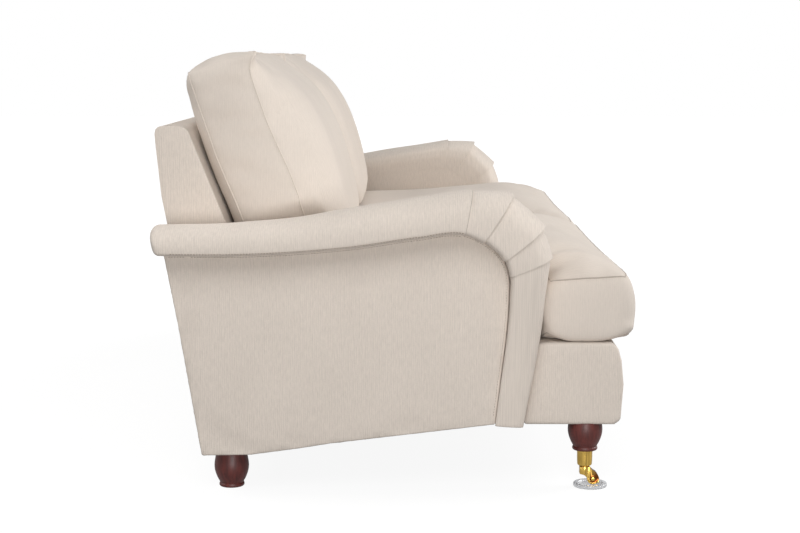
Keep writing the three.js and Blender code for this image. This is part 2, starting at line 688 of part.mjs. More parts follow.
// Brass castor under a front leg: a cup on the leg's foot, a swivelling horn and its wheel
function castor(side, stand) {
  const rimFoot = castorHeight - fitGap;
  const inner = ferruleFootRadius - ferruleWall;
  const stemFoot = hornTop - hornBossHeight + boltChamfer;
  const neckFoot = ferruleFoot - ferruleNeckHeight;
  add(`castor_ferrule_${side}`, turned([
    [0, stemFoot], [stemRadius, stemFoot], [stemRadius, neckFoot], [ferruleNeckRadius, neckFoot],
    [ferruleNeckRadius, ferruleFoot], [ferruleFootRadius, ferruleFoot], [ferruleTopRadius, rimFoot],
    [inner, rimFoot], [inner, ferruleFoot + ferruleFloor], [0, ferruleFoot + ferruleFloor],
  ], castorSides), brass, stand);

  const bossFoot = hornTop - hornBossHeight;
  const arc = hornArcShares.map(([turn, reach]) => [
    -wheelTrail - Math.sin(turn * Math.PI) * reach * hornReach,
    axleHeight + Math.cos(turn * Math.PI) * reach * hornReach,
  ]);
  const backEdge = hornBackShares.map(([y, z]) => [y * wheelTrail, z * hornTop]);
  const half = hornWidth / 2;
  const outline = [[hornBossRadius, bossFoot], [hornBossRadius, hornTop],
    [-hornBossRadius, hornTop], ...arc, ...backEdge];
  const cheeks = across(outline, [-half, half]);
  const slotHalf = wheelWidth / 2 + wheelClearance;
  const slot = rod(wheelRadius + wheelClearance, [-slotHalf, slotHalf], -wheelTrail, axleHeight, castorSides);
  const axleBore = rod(
    axleRadius + axleClearance, [-half - overrun, half + overrun], -wheelTrail, axleHeight, boltSides);
  const boss = upright(hornBossRadius, 0, 0, [bossFoot, hornTop], castorSides);
  const stemBore = upright(
    stemRadius + boltClearance, 0, 0, [bossFoot - overrun, hornTop + overrun], castorSides);
  add(`castor_horn_${side}`, cut(join(cheeks, boss), slot, axleBore, stemBore), brass, stand);

  const wheelHalf = wheelWidth / 2;
  const hub = wheelHalf + wheelHubHeight;
  const bore = axleRadius + axleClearance;
  const tread = wheelRadius - wheelRounding;
  const wheel = turned([
    [bore, -hub], [wheelHubRadius, -hub], [wheelHubRadius, -wheelHalf], [tread, -wheelHalf],
    [wheelRadius, -wheelHalf + wheelRounding], [wheelRadius, wheelHalf - wheelRounding],
    [tread, wheelHalf], [wheelHubRadius, wheelHalf], [wheelHubRadius, hub], [bore, hub], [bore, -hub],
  ], castorSides);
  const wheelMesh = add(`castor_wheel_${side}`, wheel.rotateY(Math.PI / 2), brass, stand);
  wheelMesh.position.set(0, -wheelTrail, axleHeight);

  const neck = half + fitGap;
  const axle = turned([
    [0, -neck - axleHeadHeight], [axleHeadRadius, -neck - axleHeadHeight], [axleHeadRadius, -neck],
    [axleRadius, -neck], [axleRadius, neck], [axleHeadRadius, neck],
    [axleHeadRadius, neck + axleHeadHeight], [0, neck + axleHeadHeight],
  ], boltSides);
  const axleMesh = add(`castor_axle_${side}`, axle.rotateY(Math.PI / 2), brass, stand);
  axleMesh.position.copy(wheelMesh.position);

  const recess = cupRadius - cupRimWidth;
  add(`castor_cup_${side}`, turned([
    [0, 0], [cupRadius - cupEase, 0], [cupRadius, cupEase], [cupRadius, cupHeight - cupEase],
    [cupRadius - cupEase, cupHeight], [recess, cupHeight], [recess - cupEase, cupFloor], [0, cupFloor],
  ], castorSides), clear, stand).position.set(0, -cupOffset, 0);
}

// Places from corner to corner: the corners, the ends of their rounding and the steps between
function places(corners) {
  const stops = [...new Set(corners)].sort((a, b) => a - b);
  return stops.flatMap((stop, k) => {
    if (!k) return [stop];
    const length = stop - stops[k - 1];
    const steps = length > longSideCorners * cushionCorner ? longStepShares : shortStepShares;
    const start = stops[k - 1] + cushionCorner;
    return [...steps.map((step) => start + step * (length - 2 * cushionCorner)), stop];
  });
}

// Stuffed cushion on a plan of square corners, filled by a lattice. Each side bows out or in
// between its corners, the boxing bulges by the side's own amount, and both faces rise from
// their seams to a crown.
function cushion({ corners, sides, low, high }) {
  const xs = places(corners.map(([x]) => x));
  const ys = places(corners.map(([, y]) => y));
  const edges = corners.map((corner, k) => {
    const from = new THREE.Vector2(...corner);
    const to = new THREE.Vector2(...corners[(k + 1) % corners.length]);
    const run = to.clone().sub(from);
    const outward = new THREE.Vector2(run.y, -run.x).normalize();
    const depth = Math.max(...corners.map(([x, y]) => from.clone().sub({ x, y }).dot(outward)));
    return { from, to, run, outward, depth, ...sides[k] };
  });
  const middling = (edge, p) => {
    const t = THREE.MathUtils.clamp(p.clone().sub(edge.from).dot(edge.run) / edge.run.lengthSq(), 0, 1);
    return 4 * t * (1 - t);
  };
  const bowed = (x, y) => {
    const flat = new THREE.Vector2(x, y);
    return edges.reduce((p, edge) => {
      const fade = 1 + flat.clone().sub(edge.from).dot(edge.outward) / edge.depth;
      return p.addScaledVector(edge.outward, edge.bow * middling(edge, flat) * fade);
    }, flat.clone());
  };

  // Seam points in order round the plan, with their corners rounded
  const loop = edges.flatMap((edge, k) => {
    const last = edges.at(k - 1);
    const [axis, stops] = edge.run.x ? ["x", xs] : ["y", ys];
    const [start, end] = [edge.from[axis], edge.to[axis]];
    const ahead = stops.filter((s) => s >= Math.min(start, end) && s <= Math.max(start, end));
    if (end < start) ahead.reverse();
    return ahead.slice(0, -1).map((stop, step) => {
      const flat = edge.from.clone();
      flat[axis] = stop;
      return {
        flat, at: bowed(flat.x, flat.y), isCorner: step === 0, middling: middling(edge, flat),
        bulge: step ? edge.bulge : (edge.bulge + last.bulge) / 2,
      };
    });
  });
  const beside = (k) => [loop.at(k - 1).at, loop[(k + 1) % loop.length].at];
  loop.forEach((point, k) => {
    const [last, next] = beside(k);
    if (point.isCorner) point.at.multiplyScalar(0.5).addScaledVector(last, 0.25).addScaledVector(next, 0.25);
  });
  loop.forEach((point, k) => {
    const [last, next] = beside(k);
    point.outward = new THREE.Vector2(next.y - last.y, last.x - next.x).normalize();
  });

  const seamHeight = (face, lift) => face.edge + face.middle * lift;
  const crownHeight = (face, p) => {
    const near = loop.map(({ at, middling: lift }, k) => {
      const next = loop[(k + 1) % loop.length];
      const edge = next.at.clone().sub(at);
      const along = THREE.MathUtils.clamp(p.clone().sub(at).dot(edge) / edge.lengthSq(), 0, 1);
      const distance = at.clone().addScaledVector(edge, along).distanceTo(p);
      return { distance, lift: THREE.MathUtils.lerp(lift, next.middling, along) };
    }).reduce((a, b) => (b.distance < a.distance ? b : a));
    const rise = 1 - (1 - Math.min(1, near.distance / face.reach)) ** 2;
    const fall = 1 - THREE.MathUtils.clamp((p.y - ys[0]) / (ys.at(-1) - ys[0]), 0, 1);
    return THREE.MathUtils.lerp(seamHeight(face, near.lift), face.crown + face.foot * fall ** 2, rise);
  };

  const vertices = [];
  const faces = [];
  const vertex = (p, z) => vertices.push(p.x, p.y, z) / 3 - 1;
  const quad = (a, b, c, d) => faces.push(a, b, c, a, c, d);
  const inPlan = (x, y) => edges.filter(({ from, to }) => from.x > x && (from.y > y) !== (to.y > y)).length % 2;
  const addFace = (face, isTop) => {
    const seamRing = loop.map(({ at, middling: lift }) => vertex(at, seamHeight(face, lift)));
    const nodes = xs.map((x) => ys.map((y) => {
      const k = loop.findIndex(({ flat }) => flat.x === x && flat.y === y);
      const at = bowed(x, y);
      return k < 0 ? vertex(at, crownHeight(face, at)) : seamRing[k];
    }));
    for (let i = 0; i + 1 < xs.length; i += 1) {
      for (let j = 0; j + 1 < ys.length; j += 1) {
        const cell = [nodes[i][j], nodes[i + 1][j], nodes[i + 1][j + 1], nodes[i][j + 1]];
        if (inPlan((xs[i] + xs[i + 1]) / 2, (ys[j] + ys[j + 1]) / 2)) quad(...(isTop ? cell : cell.reverse()));
      }
    }
    return seamRing;
  };
  const boxing = boxRingShares.map(([out, up]) => loop.map((point) => {
    const p = point.at.clone().addScaledVector(point.outward, out * point.bulge);
    const [foot, head] = [low, high].map((face) => seamHeight(face, point.middling));
    return vertex(p, THREE.MathUtils.lerp(foot, head, up));
  }));
  const rings = [addFace(low, false), ...boxing, addFace(high, true)];
  rings.slice(1).forEach((ring, r) => ring.forEach((_, k) => {
    const next = (k + 1) % ring.length;
    quad(rings[r][k], rings[r][next], ring[next], ring[k]);
  }));
  return skin(vertices, faces);
}

// Heights at which the pillar stands behind the seat cushion's ear
const earHeights = [
  deckHeight, ...crown.map((p) => p.z).filter((z) => z > deckHeight && z < seatEdgeHeight), seatEdgeHeight,
];

function cushions() {
  const inner = cushionGap / 2 + cushionInnerBulge;
  const outer = halfIn - cushionArmGap - cushionInnerBulge;
  const rear = faceY(deckHeight) - seatBackGap;
  const front = frontY + seatFrontSetback;
  const earBack = Math.min(...earHeights.map(pillarFrontY)) - earGap;
  const earOuter = halfOut - earInset;
  const seatFloor = deckHeight + fitGap;
  const seat = cushion({
    corners: [
      [-earOuter, front], [-inner, front], [-inner, rear],
      [-outer, rear], [-outer, earBack], [-earOuter, earBack],
    ],
    sides: [
      { bow: -seatFrontDraw, bulge: seatFrontSetback }, { bow: -seatSideDraw, bulge: cushionInnerBulge },
      { bow: -seatSideDraw, bulge: cushionInnerBulge }, { bow: -seatSideDraw, bulge: cushionInnerBulge },
      { bow: 0, bulge: cushionInnerBulge }, { bow: 0, bulge: earBulge },
    ],
    low: { edge: seatFloor, middle: 0, crown: seatFloor, foot: 0, reach: seatCrownReach },
    high: {
      edge: seatEdgeHeight, middle: seatEdgeRise, crown: seatCrownHeight, foot: 0, reach: seatCrownReach,
    },
  });
  seat.computeBoundingBox();
  pair("seat_cushion", seat.translate(0, frontY - seat.boundingBox.min.y, 0), linen);

  // Back cushions: made flat, then leaned against the back and settled on the seat
  const lean = rad(backCushionRake);
  const backFloor = seatCrownHeight + backCushionFloor;
  const fullRise = (cushionTopHeight - backFloor) / Math.cos(lean);
  const rise = fullRise - backCushionSag - backCushionTopBow - backCushionBulge;
  const backOuter = halfIn - backCushionSideGap;
  const half = backCushionBox / 2;
  const flat = cushion({
    corners: [[-backOuter, 0], [-inner, 0], [-inner, rise], [-backOuter, rise]],
    sides: [
      { bow: backCushionSag, bulge: backCushionBulge },
      { bow: -backCushionSideDraw, bulge: cushionInnerBulge },
      { bow: backCushionTopBow, bulge: backCushionBulge },
      { bow: -backCushionSideDraw, bulge: backCushionBulge },
    ],
    low: {
      edge: -half, middle: 0, crown: -half - backCushionRearCrown, foot: 0, reach: backCushionReach,
    },
    high: {
      edge: half, middle: -backCushionSeamDraw, crown: half + backCushionCrown,
      foot: backCushionFootCrown, reach: backCushionReach,
    },
  });
  flat.applyMatrix4(new THREE.Matrix4().makeBasis(
    new THREE.Vector3(1, 0, 0),
    new THREE.Vector3(0, Math.sin(lean), Math.cos(lean)),
    new THREE.Vector3(0, -Math.cos(lean), Math.sin(lean))));
  flat.computeBoundingBox();
  flat.translate(0, 0, cushionTopHeight - flat.boundingBox.max.z);
  const spots = flat.attributes.position;
  const slacks = Array.from({ length: spots.count }, (_, k) => faceY(spots.getZ(k)) - spots.getY(k));
  flat.translate(0, Math.min(...slacks) - fitGap, 0);
  const belowSeat = block([-halfOut, 0], [frontY, rearY(backHeight)], [0, backFloor]);
  pair("back_cushion", cut(flat, belowSeat), linen);
}

arms();
back();
seatFrame();
platform();
legs();
cushions();

export default sofa;
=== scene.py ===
import json
import math

import bpy
import numpy as np
from mathutils import Matrix, Vector
from mathutils.bvhtree import BVHTree
from mathutils.kdtree import KDTree


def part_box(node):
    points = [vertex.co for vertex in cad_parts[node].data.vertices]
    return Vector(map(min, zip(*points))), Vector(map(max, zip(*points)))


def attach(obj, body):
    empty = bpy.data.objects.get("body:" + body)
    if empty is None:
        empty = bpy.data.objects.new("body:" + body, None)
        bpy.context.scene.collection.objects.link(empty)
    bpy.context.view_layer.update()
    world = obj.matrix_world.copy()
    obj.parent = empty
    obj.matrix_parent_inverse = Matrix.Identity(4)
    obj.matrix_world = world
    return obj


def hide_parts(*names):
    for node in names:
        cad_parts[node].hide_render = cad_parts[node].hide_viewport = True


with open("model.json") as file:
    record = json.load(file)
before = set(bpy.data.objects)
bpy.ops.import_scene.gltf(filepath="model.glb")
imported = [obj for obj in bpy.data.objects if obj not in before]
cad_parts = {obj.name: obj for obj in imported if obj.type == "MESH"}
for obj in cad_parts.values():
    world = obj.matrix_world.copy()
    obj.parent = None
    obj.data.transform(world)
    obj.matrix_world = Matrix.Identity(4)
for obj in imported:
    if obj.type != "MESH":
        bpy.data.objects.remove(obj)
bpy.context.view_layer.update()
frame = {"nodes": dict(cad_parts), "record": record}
nodes = frame["nodes"]
sides = {"left": -1, "right": 1}


# Small helpers

def pickOnly(piece):
    if bpy.context.object and bpy.context.object.mode != "OBJECT":
        bpy.ops.object.mode_set(mode="OBJECT")
    bpy.ops.object.select_all(action="DESELECT")
    piece.select_set(True)
    bpy.context.view_layer.objects.active = piece


def places(piece):
    spots = np.empty(len(piece.data.vertices) * 3)
    piece.data.vertices.foreach_get("co", spots)
    return spots.reshape(-1, 3)


def putPlaces(piece, spots):
    piece.data.vertices.foreach_set("co", np.asarray(spots, float).ravel())
    piece.data.update()


def applyModifier(piece, kind, **values):
    pickOnly(piece)
    modifier = piece.modifiers.new(kind.lower(), kind)
    for name, value in values.items():
        setattr(modifier, name, value)
    bpy.ops.object.modifier_apply(modifier=modifier.name)


def turnFacesOut(piece, merge=0.00002):
    pickOnly(piece)
    bpy.ops.object.mode_set(mode="EDIT")
    bpy.ops.mesh.select_all(action="SELECT")
    if merge:
        bpy.ops.mesh.remove_doubles(threshold=merge)
    bpy.ops.mesh.normals_make_consistent(inside=False)
    bpy.ops.object.mode_set(mode="OBJECT")


def smooth(piece, angle=None):
    pickOnly(piece)
    if angle is None:
        bpy.ops.object.shade_smooth()
    else:
        bpy.ops.object.shade_smooth_by_angle(angle=math.radians(angle))


def mirrorCopy(piece, name):
    other = piece.copy()
    other.data = piece.data.copy()
    other.name = other.data.name = name
    bpy.context.scene.collection.objects.link(other)
    other.data.transform(Matrix.Diagonal((-1, 1, 1, 1)))
    other.data.flip_normals()
    return other


def ready(piece, body, slotName, material, *replaced, fill=None):
    piece.data.materials.clear()
    piece.data.materials.append(material)
    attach(piece, body)
    if replaced:
        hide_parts(*replaced)
    return piece


# A grid whose points are laid where a lattice of places says; where its edges meet they are merged
def lattice(name, grid):
    rows, columns = grid.shape[:2]
    bpy.ops.object.select_all(action="DESELECT")
    bpy.ops.mesh.primitive_grid_add(x_subdivisions=columns - 1, y_subdivisions=rows - 1, size=2)
    piece = bpy.context.object
    piece.name = piece.data.name = name
    flat = places(piece)
    column = np.rint((flat[:, 0] + 1) / 2 * (columns - 1)).astype(int)
    row = np.rint((flat[:, 1] + 1) / 2 * (rows - 1)).astype(int)
    putPlaces(piece, grid[row, column])
    turnFacesOut(piece)
    return piece


def meshPiece(name, vertices, faces):
    mesh = bpy.data.meshes.new(name)
    mesh.from_pydata([tuple(v) for v in vertices], [], faces)
    piece = bpy.data.objects.new(name, mesh)
    bpy.context.scene.collection.objects.link(piece)
    return piece


# Smooth run through points, at stops counted in points, with its direction broken at the corners
def curveThrough(points, stops, corners=()):
    points = np.asarray(points, float)
    chords = np.diff(points, axis=0)
    lengths = np.maximum(np.linalg.norm(chords, axis=1), 1e-9)
    slopes = chords / lengths[:, None]
    tangents = np.vstack([slopes[:1], slopes])
    for k in range(1, len(lengths)):
        tangents[k] = (slopes[k - 1] * lengths[k] + slopes[k] * lengths[k - 1]) / (lengths[k] + lengths[k - 1])
    tangents[-1] = slopes[-1]
    run = []
    for stop in stops:
        k = min(int(stop), len(lengths) - 1)
        f = stop - k
        start = slopes[k] if k in corners else tangents[k]
        end = slopes[k] if k + 1 in corners else tangents[k + 1]
        run.append((2 * f**3 - 3 * f**2 + 1) * points[k] + (f**3 - 2 * f**2 + f) * start * lengths[k]
                   + (3 * f**2 - 2 * f**3) * points[k + 1] + (f**3 - f**2) * end * lengths[k])
    return np.array(run)


def evenly(points, count):
    steps = np.concatenate([[0], np.cumsum(np.linalg.norm(np.diff(points, axis=0), axis=1))])
    marks = np.linspace(0, steps[-1], count)
    return np.stack([np.interp(marks, steps, points[:, k]) for k in range(points.shape[1])], axis=1)


waveWays = ((1, 0.6, 0.3), (-0.5, 1, 0.8), (0.4, -0.7, 1), (1.7, 1.3, -0.6), (-1.2, 0.9, 1.8))


# Slow soft unevenness, in shares of one, the same on every run
def unevenness(spots, size, seed):
    total = np.zeros(len(spots))
    for k, way in enumerate(waveWays):
        total += np.sin((spots @ np.array(way)) * 2 * math.pi / size + seed * (k + 1.3)) / (1 + 0.35 * k)
    return total / 3


def eased(share):
    share = np.clip(share, 0, 1)
    return share**2 * (3 - 2 * share)


# Moves the points near a spot, less the further they are from it
def nudge(spots, centre, radius, move):
    near = np.exp(-((np.linalg.norm((spots - centre) / radius, axis=1)) ** 2))
    return spots + near[:, None] * np.asarray(move)


# Draws a fold in along a line, deepest at its start
def foldIn(spots, start, end, width, depth):
    start, end = np.array(start), np.array(end)
    run = end - start
    t = np.clip((spots - start) @ run / (run @ run), 0, 1)
    away = np.linalg.norm(start + t[:, None] * run - spots, axis=1)
    share = np.exp(-((away / width) ** 2)) * (1 - t)
    return spots + share[:, None] * np.array([0, depth * 0.95, -depth * 0.3])


# Stores a value at each point: painted shade where linen is folded or sewn, patina where brass is hollowed
def paintedShadeAndPatina(piece, values):
    layer = piece.data.attributes.new("paintedShadeAndPatina", "FLOAT", "POINT")
    layer.data.foreach_set("value", np.asarray(values, float))


# Weave co-ordinates in metres: along the piece and up it, whichever way a face looks
def weaveMap(piece, upright=None):
    mesh = piece.data
    layer = mesh.uv_layers.get("weave") or mesh.uv_layers.new(name="weave")
    spots = places(piece)
    count = len(mesh.loops)
    corner = np.empty(count, int)
    mesh.loops.foreach_get("vertex_index", corner)
    normals = np.empty(len(mesh.polygons) * 3)
    mesh.polygons.foreach_get("normal", normals)
    normals = np.abs(normals.reshape(-1, 3))
    totals = np.empty(len(mesh.polygons), int)
    mesh.polygons.foreach_get("loop_total", totals)
    facing = np.repeat(normals.argmax(axis=1), totals)
    x, y, z = spots[corner].T
    across = np.where(facing == 0, y, x)
    up = np.where(facing == 2, y, z)
    if upright is not None:
        along = upright[corner]
        across = np.where(facing == 1, x, y)
        up = np.where(facing == 1, z, along)
    layer.data.foreach_set("uv", np.stack([across, up], axis=1).ravel())


# Materials

def scaledNoise(tree, vector, scale, detail=2.0, roughness=0.5):
    mapping = tree.nodes.new("ShaderNodeMapping")
    mapping.inputs["Scale"].default_value = scale
    noise = tree.nodes.new("ShaderNodeTexNoise")
    noise.inputs["Scale"].default_value = 1
    noise.inputs["Detail"].default_value = detail
    noise.inputs["Roughness"].default_value = roughness
    tree.links.new(vector, mapping.inputs["Vector"])
    tree.links.new(mapping.outputs["Vector"], noise.inputs["Vector"])
    return noise.outputs["Fac"]


def mathNode(tree, operation, first, second):
    node = tree.nodes.new("ShaderNodeMath")
    node.operation = operation
    for socket, value in zip(node.inputs, (first, second)):
        if isinstance(value, (int, float)):
            socket.default_value = value
        else:
            tree.links.new(value, socket)
    return node.outputs[0]


def ranged(tree, value, low, high):
    node = tree.nodes.new("ShaderNodeMapRange")
    node.inputs["From Min"].default_value, node.inputs["From Max"].default_value = 0.3, 0.7
    node.inputs["To Min"].default_value, node.inputs["To Max"].default_value = low, high
    tree.links.new(value, node.inputs["Value"])
    return node.outputs["Result"]


# Ribbed linen: short upright slubs about 3 mm apart, finer threads between, and slow blotches
weave = {
    "ribPitch": 0.0041, "ribDrift": (130, 9, 1), "ribFade": (90, 42, 1), "slubs": (300, 60, 1),
    "picks": (160, 900, 1), "blotches": (9, 7, 1),
    "ribDepth": 0.05, "slubDepth": 0.055, "pickDepth": 0.025, "blotchDepth": 0.02, "foldShade": 0.34,
}


def linenWeave():
    group = bpy.data.node_groups.new("linen weave", "ShaderNodeTree")
    group.interface.new_socket("Vector", in_out="INPUT", socket_type="NodeSocketVector")
    for label in ("Fine", "Slow", "Height"):
        group.interface.new_socket(label, in_out="OUTPUT", socket_type="NodeSocketFloat")
    vector = group.nodes.new("NodeGroupInput").outputs["Vector"]
    end = group.nodes.new("NodeGroupOutput")

    def spread(name, detail, low, high, roughness=0.5):
        return ranged(group, scaledNoise(group, vector, weave[name], detail, roughness), low, high)

    parts = group.nodes.new("ShaderNodeSeparateXYZ")
    group.links.new(vector, parts.inputs[0])
    drift = mathNode(group, "MULTIPLY", spread("ribDrift", 1.5, -0.9, 0.9), 2.2)
    turn = mathNode(group, "MULTIPLY", parts.outputs["X"], 2 * math.pi / weave["ribPitch"])
    ribs = mathNode(group, "SINE", mathNode(group, "ADD", turn, drift), 0)
    ribs = mathNode(group, "MULTIPLY", ribs, spread("ribFade", 2, 0.1, 1))
    slubs = spread("slubs", 2.5, -1, 1, 0.6)
    picks = spread("picks", 1.5, -1, 1)
    fine, height = 0.0, 0.0
    for threads, depth, lift in ((ribs, "ribDepth", 0.5), (slubs, "slubDepth", 0.35), (picks, "pickDepth", 0.15)):
        fine = mathNode(group, "ADD", mathNode(group, "MULTIPLY", threads, weave[depth]), fine)
        height = mathNode(group, "ADD", mathNode(group, "MULTIPLY", threads, lift), height)
    slow = mathNode(group, "MULTIPLY", spread("blotches", 3, -1, 1), weave["blotchDepth"])
    for label, value in (("Fine", fine), ("Slow", slow), ("Height", height)):
        group.links.new(value, end.inputs[label])
    return group


linenGroup = linenWeave()


def newMaterial(name):
    material = bpy.data.materials.new(name)
    material.use_nodes = True
    return material, material.node_tree, material.node_tree.nodes["Principled BSDF"]


def objectPlaces(tree):
    return tree.nodes.new("ShaderNodeTexCoord").outputs["Object"]


# How far the piece's painted shade and patina attribute is set at each point, from 0 to 1: painted shade in folds and
# along seams on linen, patina in the hollows on brass
def paintedShadeAndPatinaShare(tree):
    attribute = tree.nodes.new("ShaderNodeAttribute")
    attribute.attribute_name = "paintedShadeAndPatina"
    return attribute.outputs["Fac"]


# A colour made lighter or darker by a tone
def tinted(tree, color, tone, shader):
    mix = tree.nodes.new("ShaderNodeVectorMath")
    mix.operation = "SCALE"
    if isinstance(color, tuple):
        mix.inputs[0].default_value = color
    else:
        tree.links.new(color, mix.inputs[0])
    tree.links.new(tone, mix.inputs["Scale"])
    tree.links.new(mix.outputs["Vector"], shader.inputs["Base Color"])


def raised(tree, height, strength, distance, shader):
    lift = tree.nodes.new("ShaderNodeBump")
    lift.inputs["Strength"].default_value = strength
    lift.inputs["Distance"].default_value = distance
    tree.links.new(height, lift.inputs["Height"])
    tree.links.new(lift.outputs["Normal"], shader.inputs["Normal"])


def linenMaterial(name, color, contrast=1.0, sheen=0.12, bump=0.55):
    material, tree, shader = newMaterial(name)
    uv = tree.nodes.new("ShaderNodeUVMap")
    uv.uv_map = "weave"
    fabric = tree.nodes.new("ShaderNodeGroup")
    fabric.node_tree = linenGroup
    tree.links.new(uv.outputs["UV"], fabric.inputs["Vector"])
    tone = mathNode(tree, "ADD", mathNode(tree, "MULTIPLY", fabric.outputs["Fine"], contrast), fabric.outputs["Slow"])
    # painted shade: folds and needle lines are drawn a little darker, where the piece carries them
    paintedFoldShade = mathNode(tree, "MULTIPLY", paintedShadeAndPatinaShare(tree), weave["foldShade"])
    tinted(tree, color, mathNode(tree, "SUBTRACT", mathNode(tree, "ADD", tone, 1), paintedFoldShade), shader)
    raised(tree, fabric.outputs["Height"], bump, 0.0004, shader)
    shader.inputs["Roughness"].default_value = 0.92
    shader.inputs["Specular IOR Level"].default_value = 0.2
    shader.inputs["Sheen Weight"].default_value = sheen
    shader.inputs["Sheen Roughness"].default_value = 0.5
    return material


# A linear colour from its values on screen, 0 to 255
def fromScreen(*shades):
    return tuple((v / 255 / 12.92) if v <= 10 else ((v / 255 + 0.055) / 1.055) ** 2.4 for v in shades)


def threadMaterial(name, color):
    material, tree, shader = newMaterial(name)
    tinted(tree, color, ranged(tree, scaledNoise(tree, objectPlaces(tree), (900, 900, 900), 2), 0.85, 1.15), shader)
    shader.inputs["Roughness"].default_value = 0.8
    return material


def woodMaterial(name, dark, light, grain, roughness, coat, coatRoughness):
    material, tree, shader = newMaterial(name)
    streaks = scaledNoise(tree, objectPlaces(tree), grain, 4, 0.62)
    ramp = tree.nodes.new("ShaderNodeValToRGB")
    for element, position, shade in zip(ramp.color_ramp.elements, (0.33, 0.68), (dark, light)):
        element.position, element.color = position, (*shade, 1)
    tree.links.new(streaks, ramp.inputs["Fac"])
    tree.links.new(ramp.outputs["Color"], shader.inputs["Base Color"])
    tree.links.new(ranged(tree, streaks, roughness + 0.05, roughness - 0.05), shader.inputs["Roughness"])
    raised(tree, streaks, 0.15, 0.0003, shader)
    shader.inputs["Coat Weight"].default_value = coat
    shader.inputs["Coat Roughness"].default_value = coatRoughness
    return material


# Metal with fine brushing marks in its tone and roughness; on brass, long upright marks with deep tone swings are
# painted reflection bands. Where the piece's painted shade and patina attribute is set, it darkens to its patina
def metalMaterial(name, color, low, high, marks=(60, 60, 900), streaks=0.08, patina=(0.2, 0.2, 0.2)):
    material, tree, shader = newMaterial(name)
    brushMarksAndReflectionBands = scaledNoise(tree, objectPlaces(tree), marks, 3)
    smudges = scaledNoise(tree, objectPlaces(tree), (70, 70, 70), 2)
    markAndReflectionBandTone = ranged(tree, brushMarksAndReflectionBands, 1 - streaks, 1 + streaks)
    tone = mathNode(tree, "MULTIPLY", ranged(tree, smudges, 0.9, 1.06), markAndReflectionBandTone)
    blend = tree.nodes.new("ShaderNodeMix")
    blend.data_type = "RGBA"
    blend.inputs["A"].default_value = (*color, 1)
    blend.inputs["B"].default_value = (*patina, 1)
    tree.links.new(paintedShadeAndPatinaShare(tree), blend.inputs["Factor"])
    tinted(tree, blend.outputs["Result"], tone, shader)
    tree.links.new(ranged(tree, brushMarksAndReflectionBands, low, high), shader.inputs["Roughness"])
    shader.inputs["Metallic"].default_value = 1
    return material


def glassMaterial(name, color):
    material, tree, shader = newMaterial(name)
    clouding = scaledNoise(tree, objectPlaces(tree), (120, 120, 120), 2)
    tree.links.new(ranged(tree, clouding, 0.06, 0.16), shader.inputs["Roughness"])
    shader.inputs["Base Color"].default_value = (*color, 1)
    shader.inputs["Transmission Weight"].default_value = 0.75
    shader.inputs["IOR"].default_value = 1.47
    return material


linenShade = fromScreen(222, 211, 200)
linen = linenMaterial("linen", linenShade)
linenSoft = linenMaterial("linen on cushions", linenShade, contrast=0.45, bump=0.35)
linenPanel = linenMaterial("linen panel", linenShade, bump=0.7)
cambric = linenMaterial("cambric", fromScreen(46, 46, 48), sheen=0.05, bump=0.8)
stitchThread = threadMaterial("stitch thread", fromScreen(150, 135, 120))
# the seat welts' linen, a darker copy of the cushions' linen: painted shade along the seat's seams
shadedWeltLinen = linenMaterial("linen welt in painted shade", fromScreen(182, 170, 159), contrast=0.4, bump=0.3)
# darker stitches of the panel and pillar rows: painted seam shadow
paintedSeamShadow = threadMaterial("seam shadow", fromScreen(128, 112, 98))
mahogany = woodMaterial("mahogany", fromScreen(70, 24, 20), fromScreen(102, 42, 36), (140, 140, 26), 0.5, 0.1, 0.26)
pine = woodMaterial("pine", fromScreen(196, 160, 108), fromScreen(226, 196, 148), (90, 90, 12), 0.7, 0, 0.5)
# brass: upright bands of painted reflection in its colour, and patina in the horn's hollows
brass = metalMaterial("brass", fromScreen(222, 184, 96), 0.12, 0.3, (500, 500, 9), 0.3, fromScreen(104, 58, 26))
steel = metalMaterial("steel", (0.55, 0.56, 0.58), 0.3, 0.45)
springSteel = metalMaterial("spring steel", (0.42, 0.43, 0.45), 0.35, 0.5, (300, 300, 300))
clearGlass = glassMaterial("clear glass", (0.8, 0.81, 0.84))

slotMaterials = {
    "linen": linen, "linen_panel": linenPanel, "cambric": cambric, "pine": pine, "mahogany": mahogany,
    "brass": brass, "steel": steel, "spring_steel": springSteel, "clear_glass": clearGlass,
}
for part in frame["record"]["subparts"]:
    node = nodes[part["node"]]
    node.data.materials.clear()
    node.data.materials.append(slotMaterials[part["material_slot"]])
print("materials done")


# Camera, light and floor

studio = {
    "place": (-4.2, -0.032, 0.889), "down": 7.4245, "turn": 0.3196, "lens": 72, "sensor": 36,
    # strength of the sky, share of reflected rays that see plain white, and light of the floor
    "sky": 0.1, "gloss": 0.5, "floorLight": 1.08, "floorGlow": 0.85, "floorShade": (0.8, 0.24),
    "glowReach": (0.9, 2.2), "floorSize": 40,
    "lamps": (
        {"place": (0.5, -3.6, 2.3), "aim": (0, 0, 0.45), "size": 2.6, "power": 140},
        {"place": (-3.4, 0.1, 2.6), "aim": (-1, 0, 0.4), "size": 1.8, "power": 45},
        {"place": (0, 3.2, 3), "aim": (0, 0.3, 0.6), "size": 2.4, "power": 80},
        {"place": (-4.6, -0.4, 0.35), "aim": (-1, 0, 0.45), "size": 1.2, "power": 72},
    ),
}


def setCamera():
    lens = bpy.data.cameras.new("camera")
    lens.lens, lens.sensor_width = studio["lens"], studio["sensor"]
    camera = bpy.data.objects.new("camera", lens)
    camera.location = studio["place"]
    camera.rotation_euler = (math.radians(90 - studio["down"]), 0, math.radians(-90 + studio["turn"]))
    bpy.context.scene.collection.objects.link(camera)
    bpy.context.scene.camera = camera


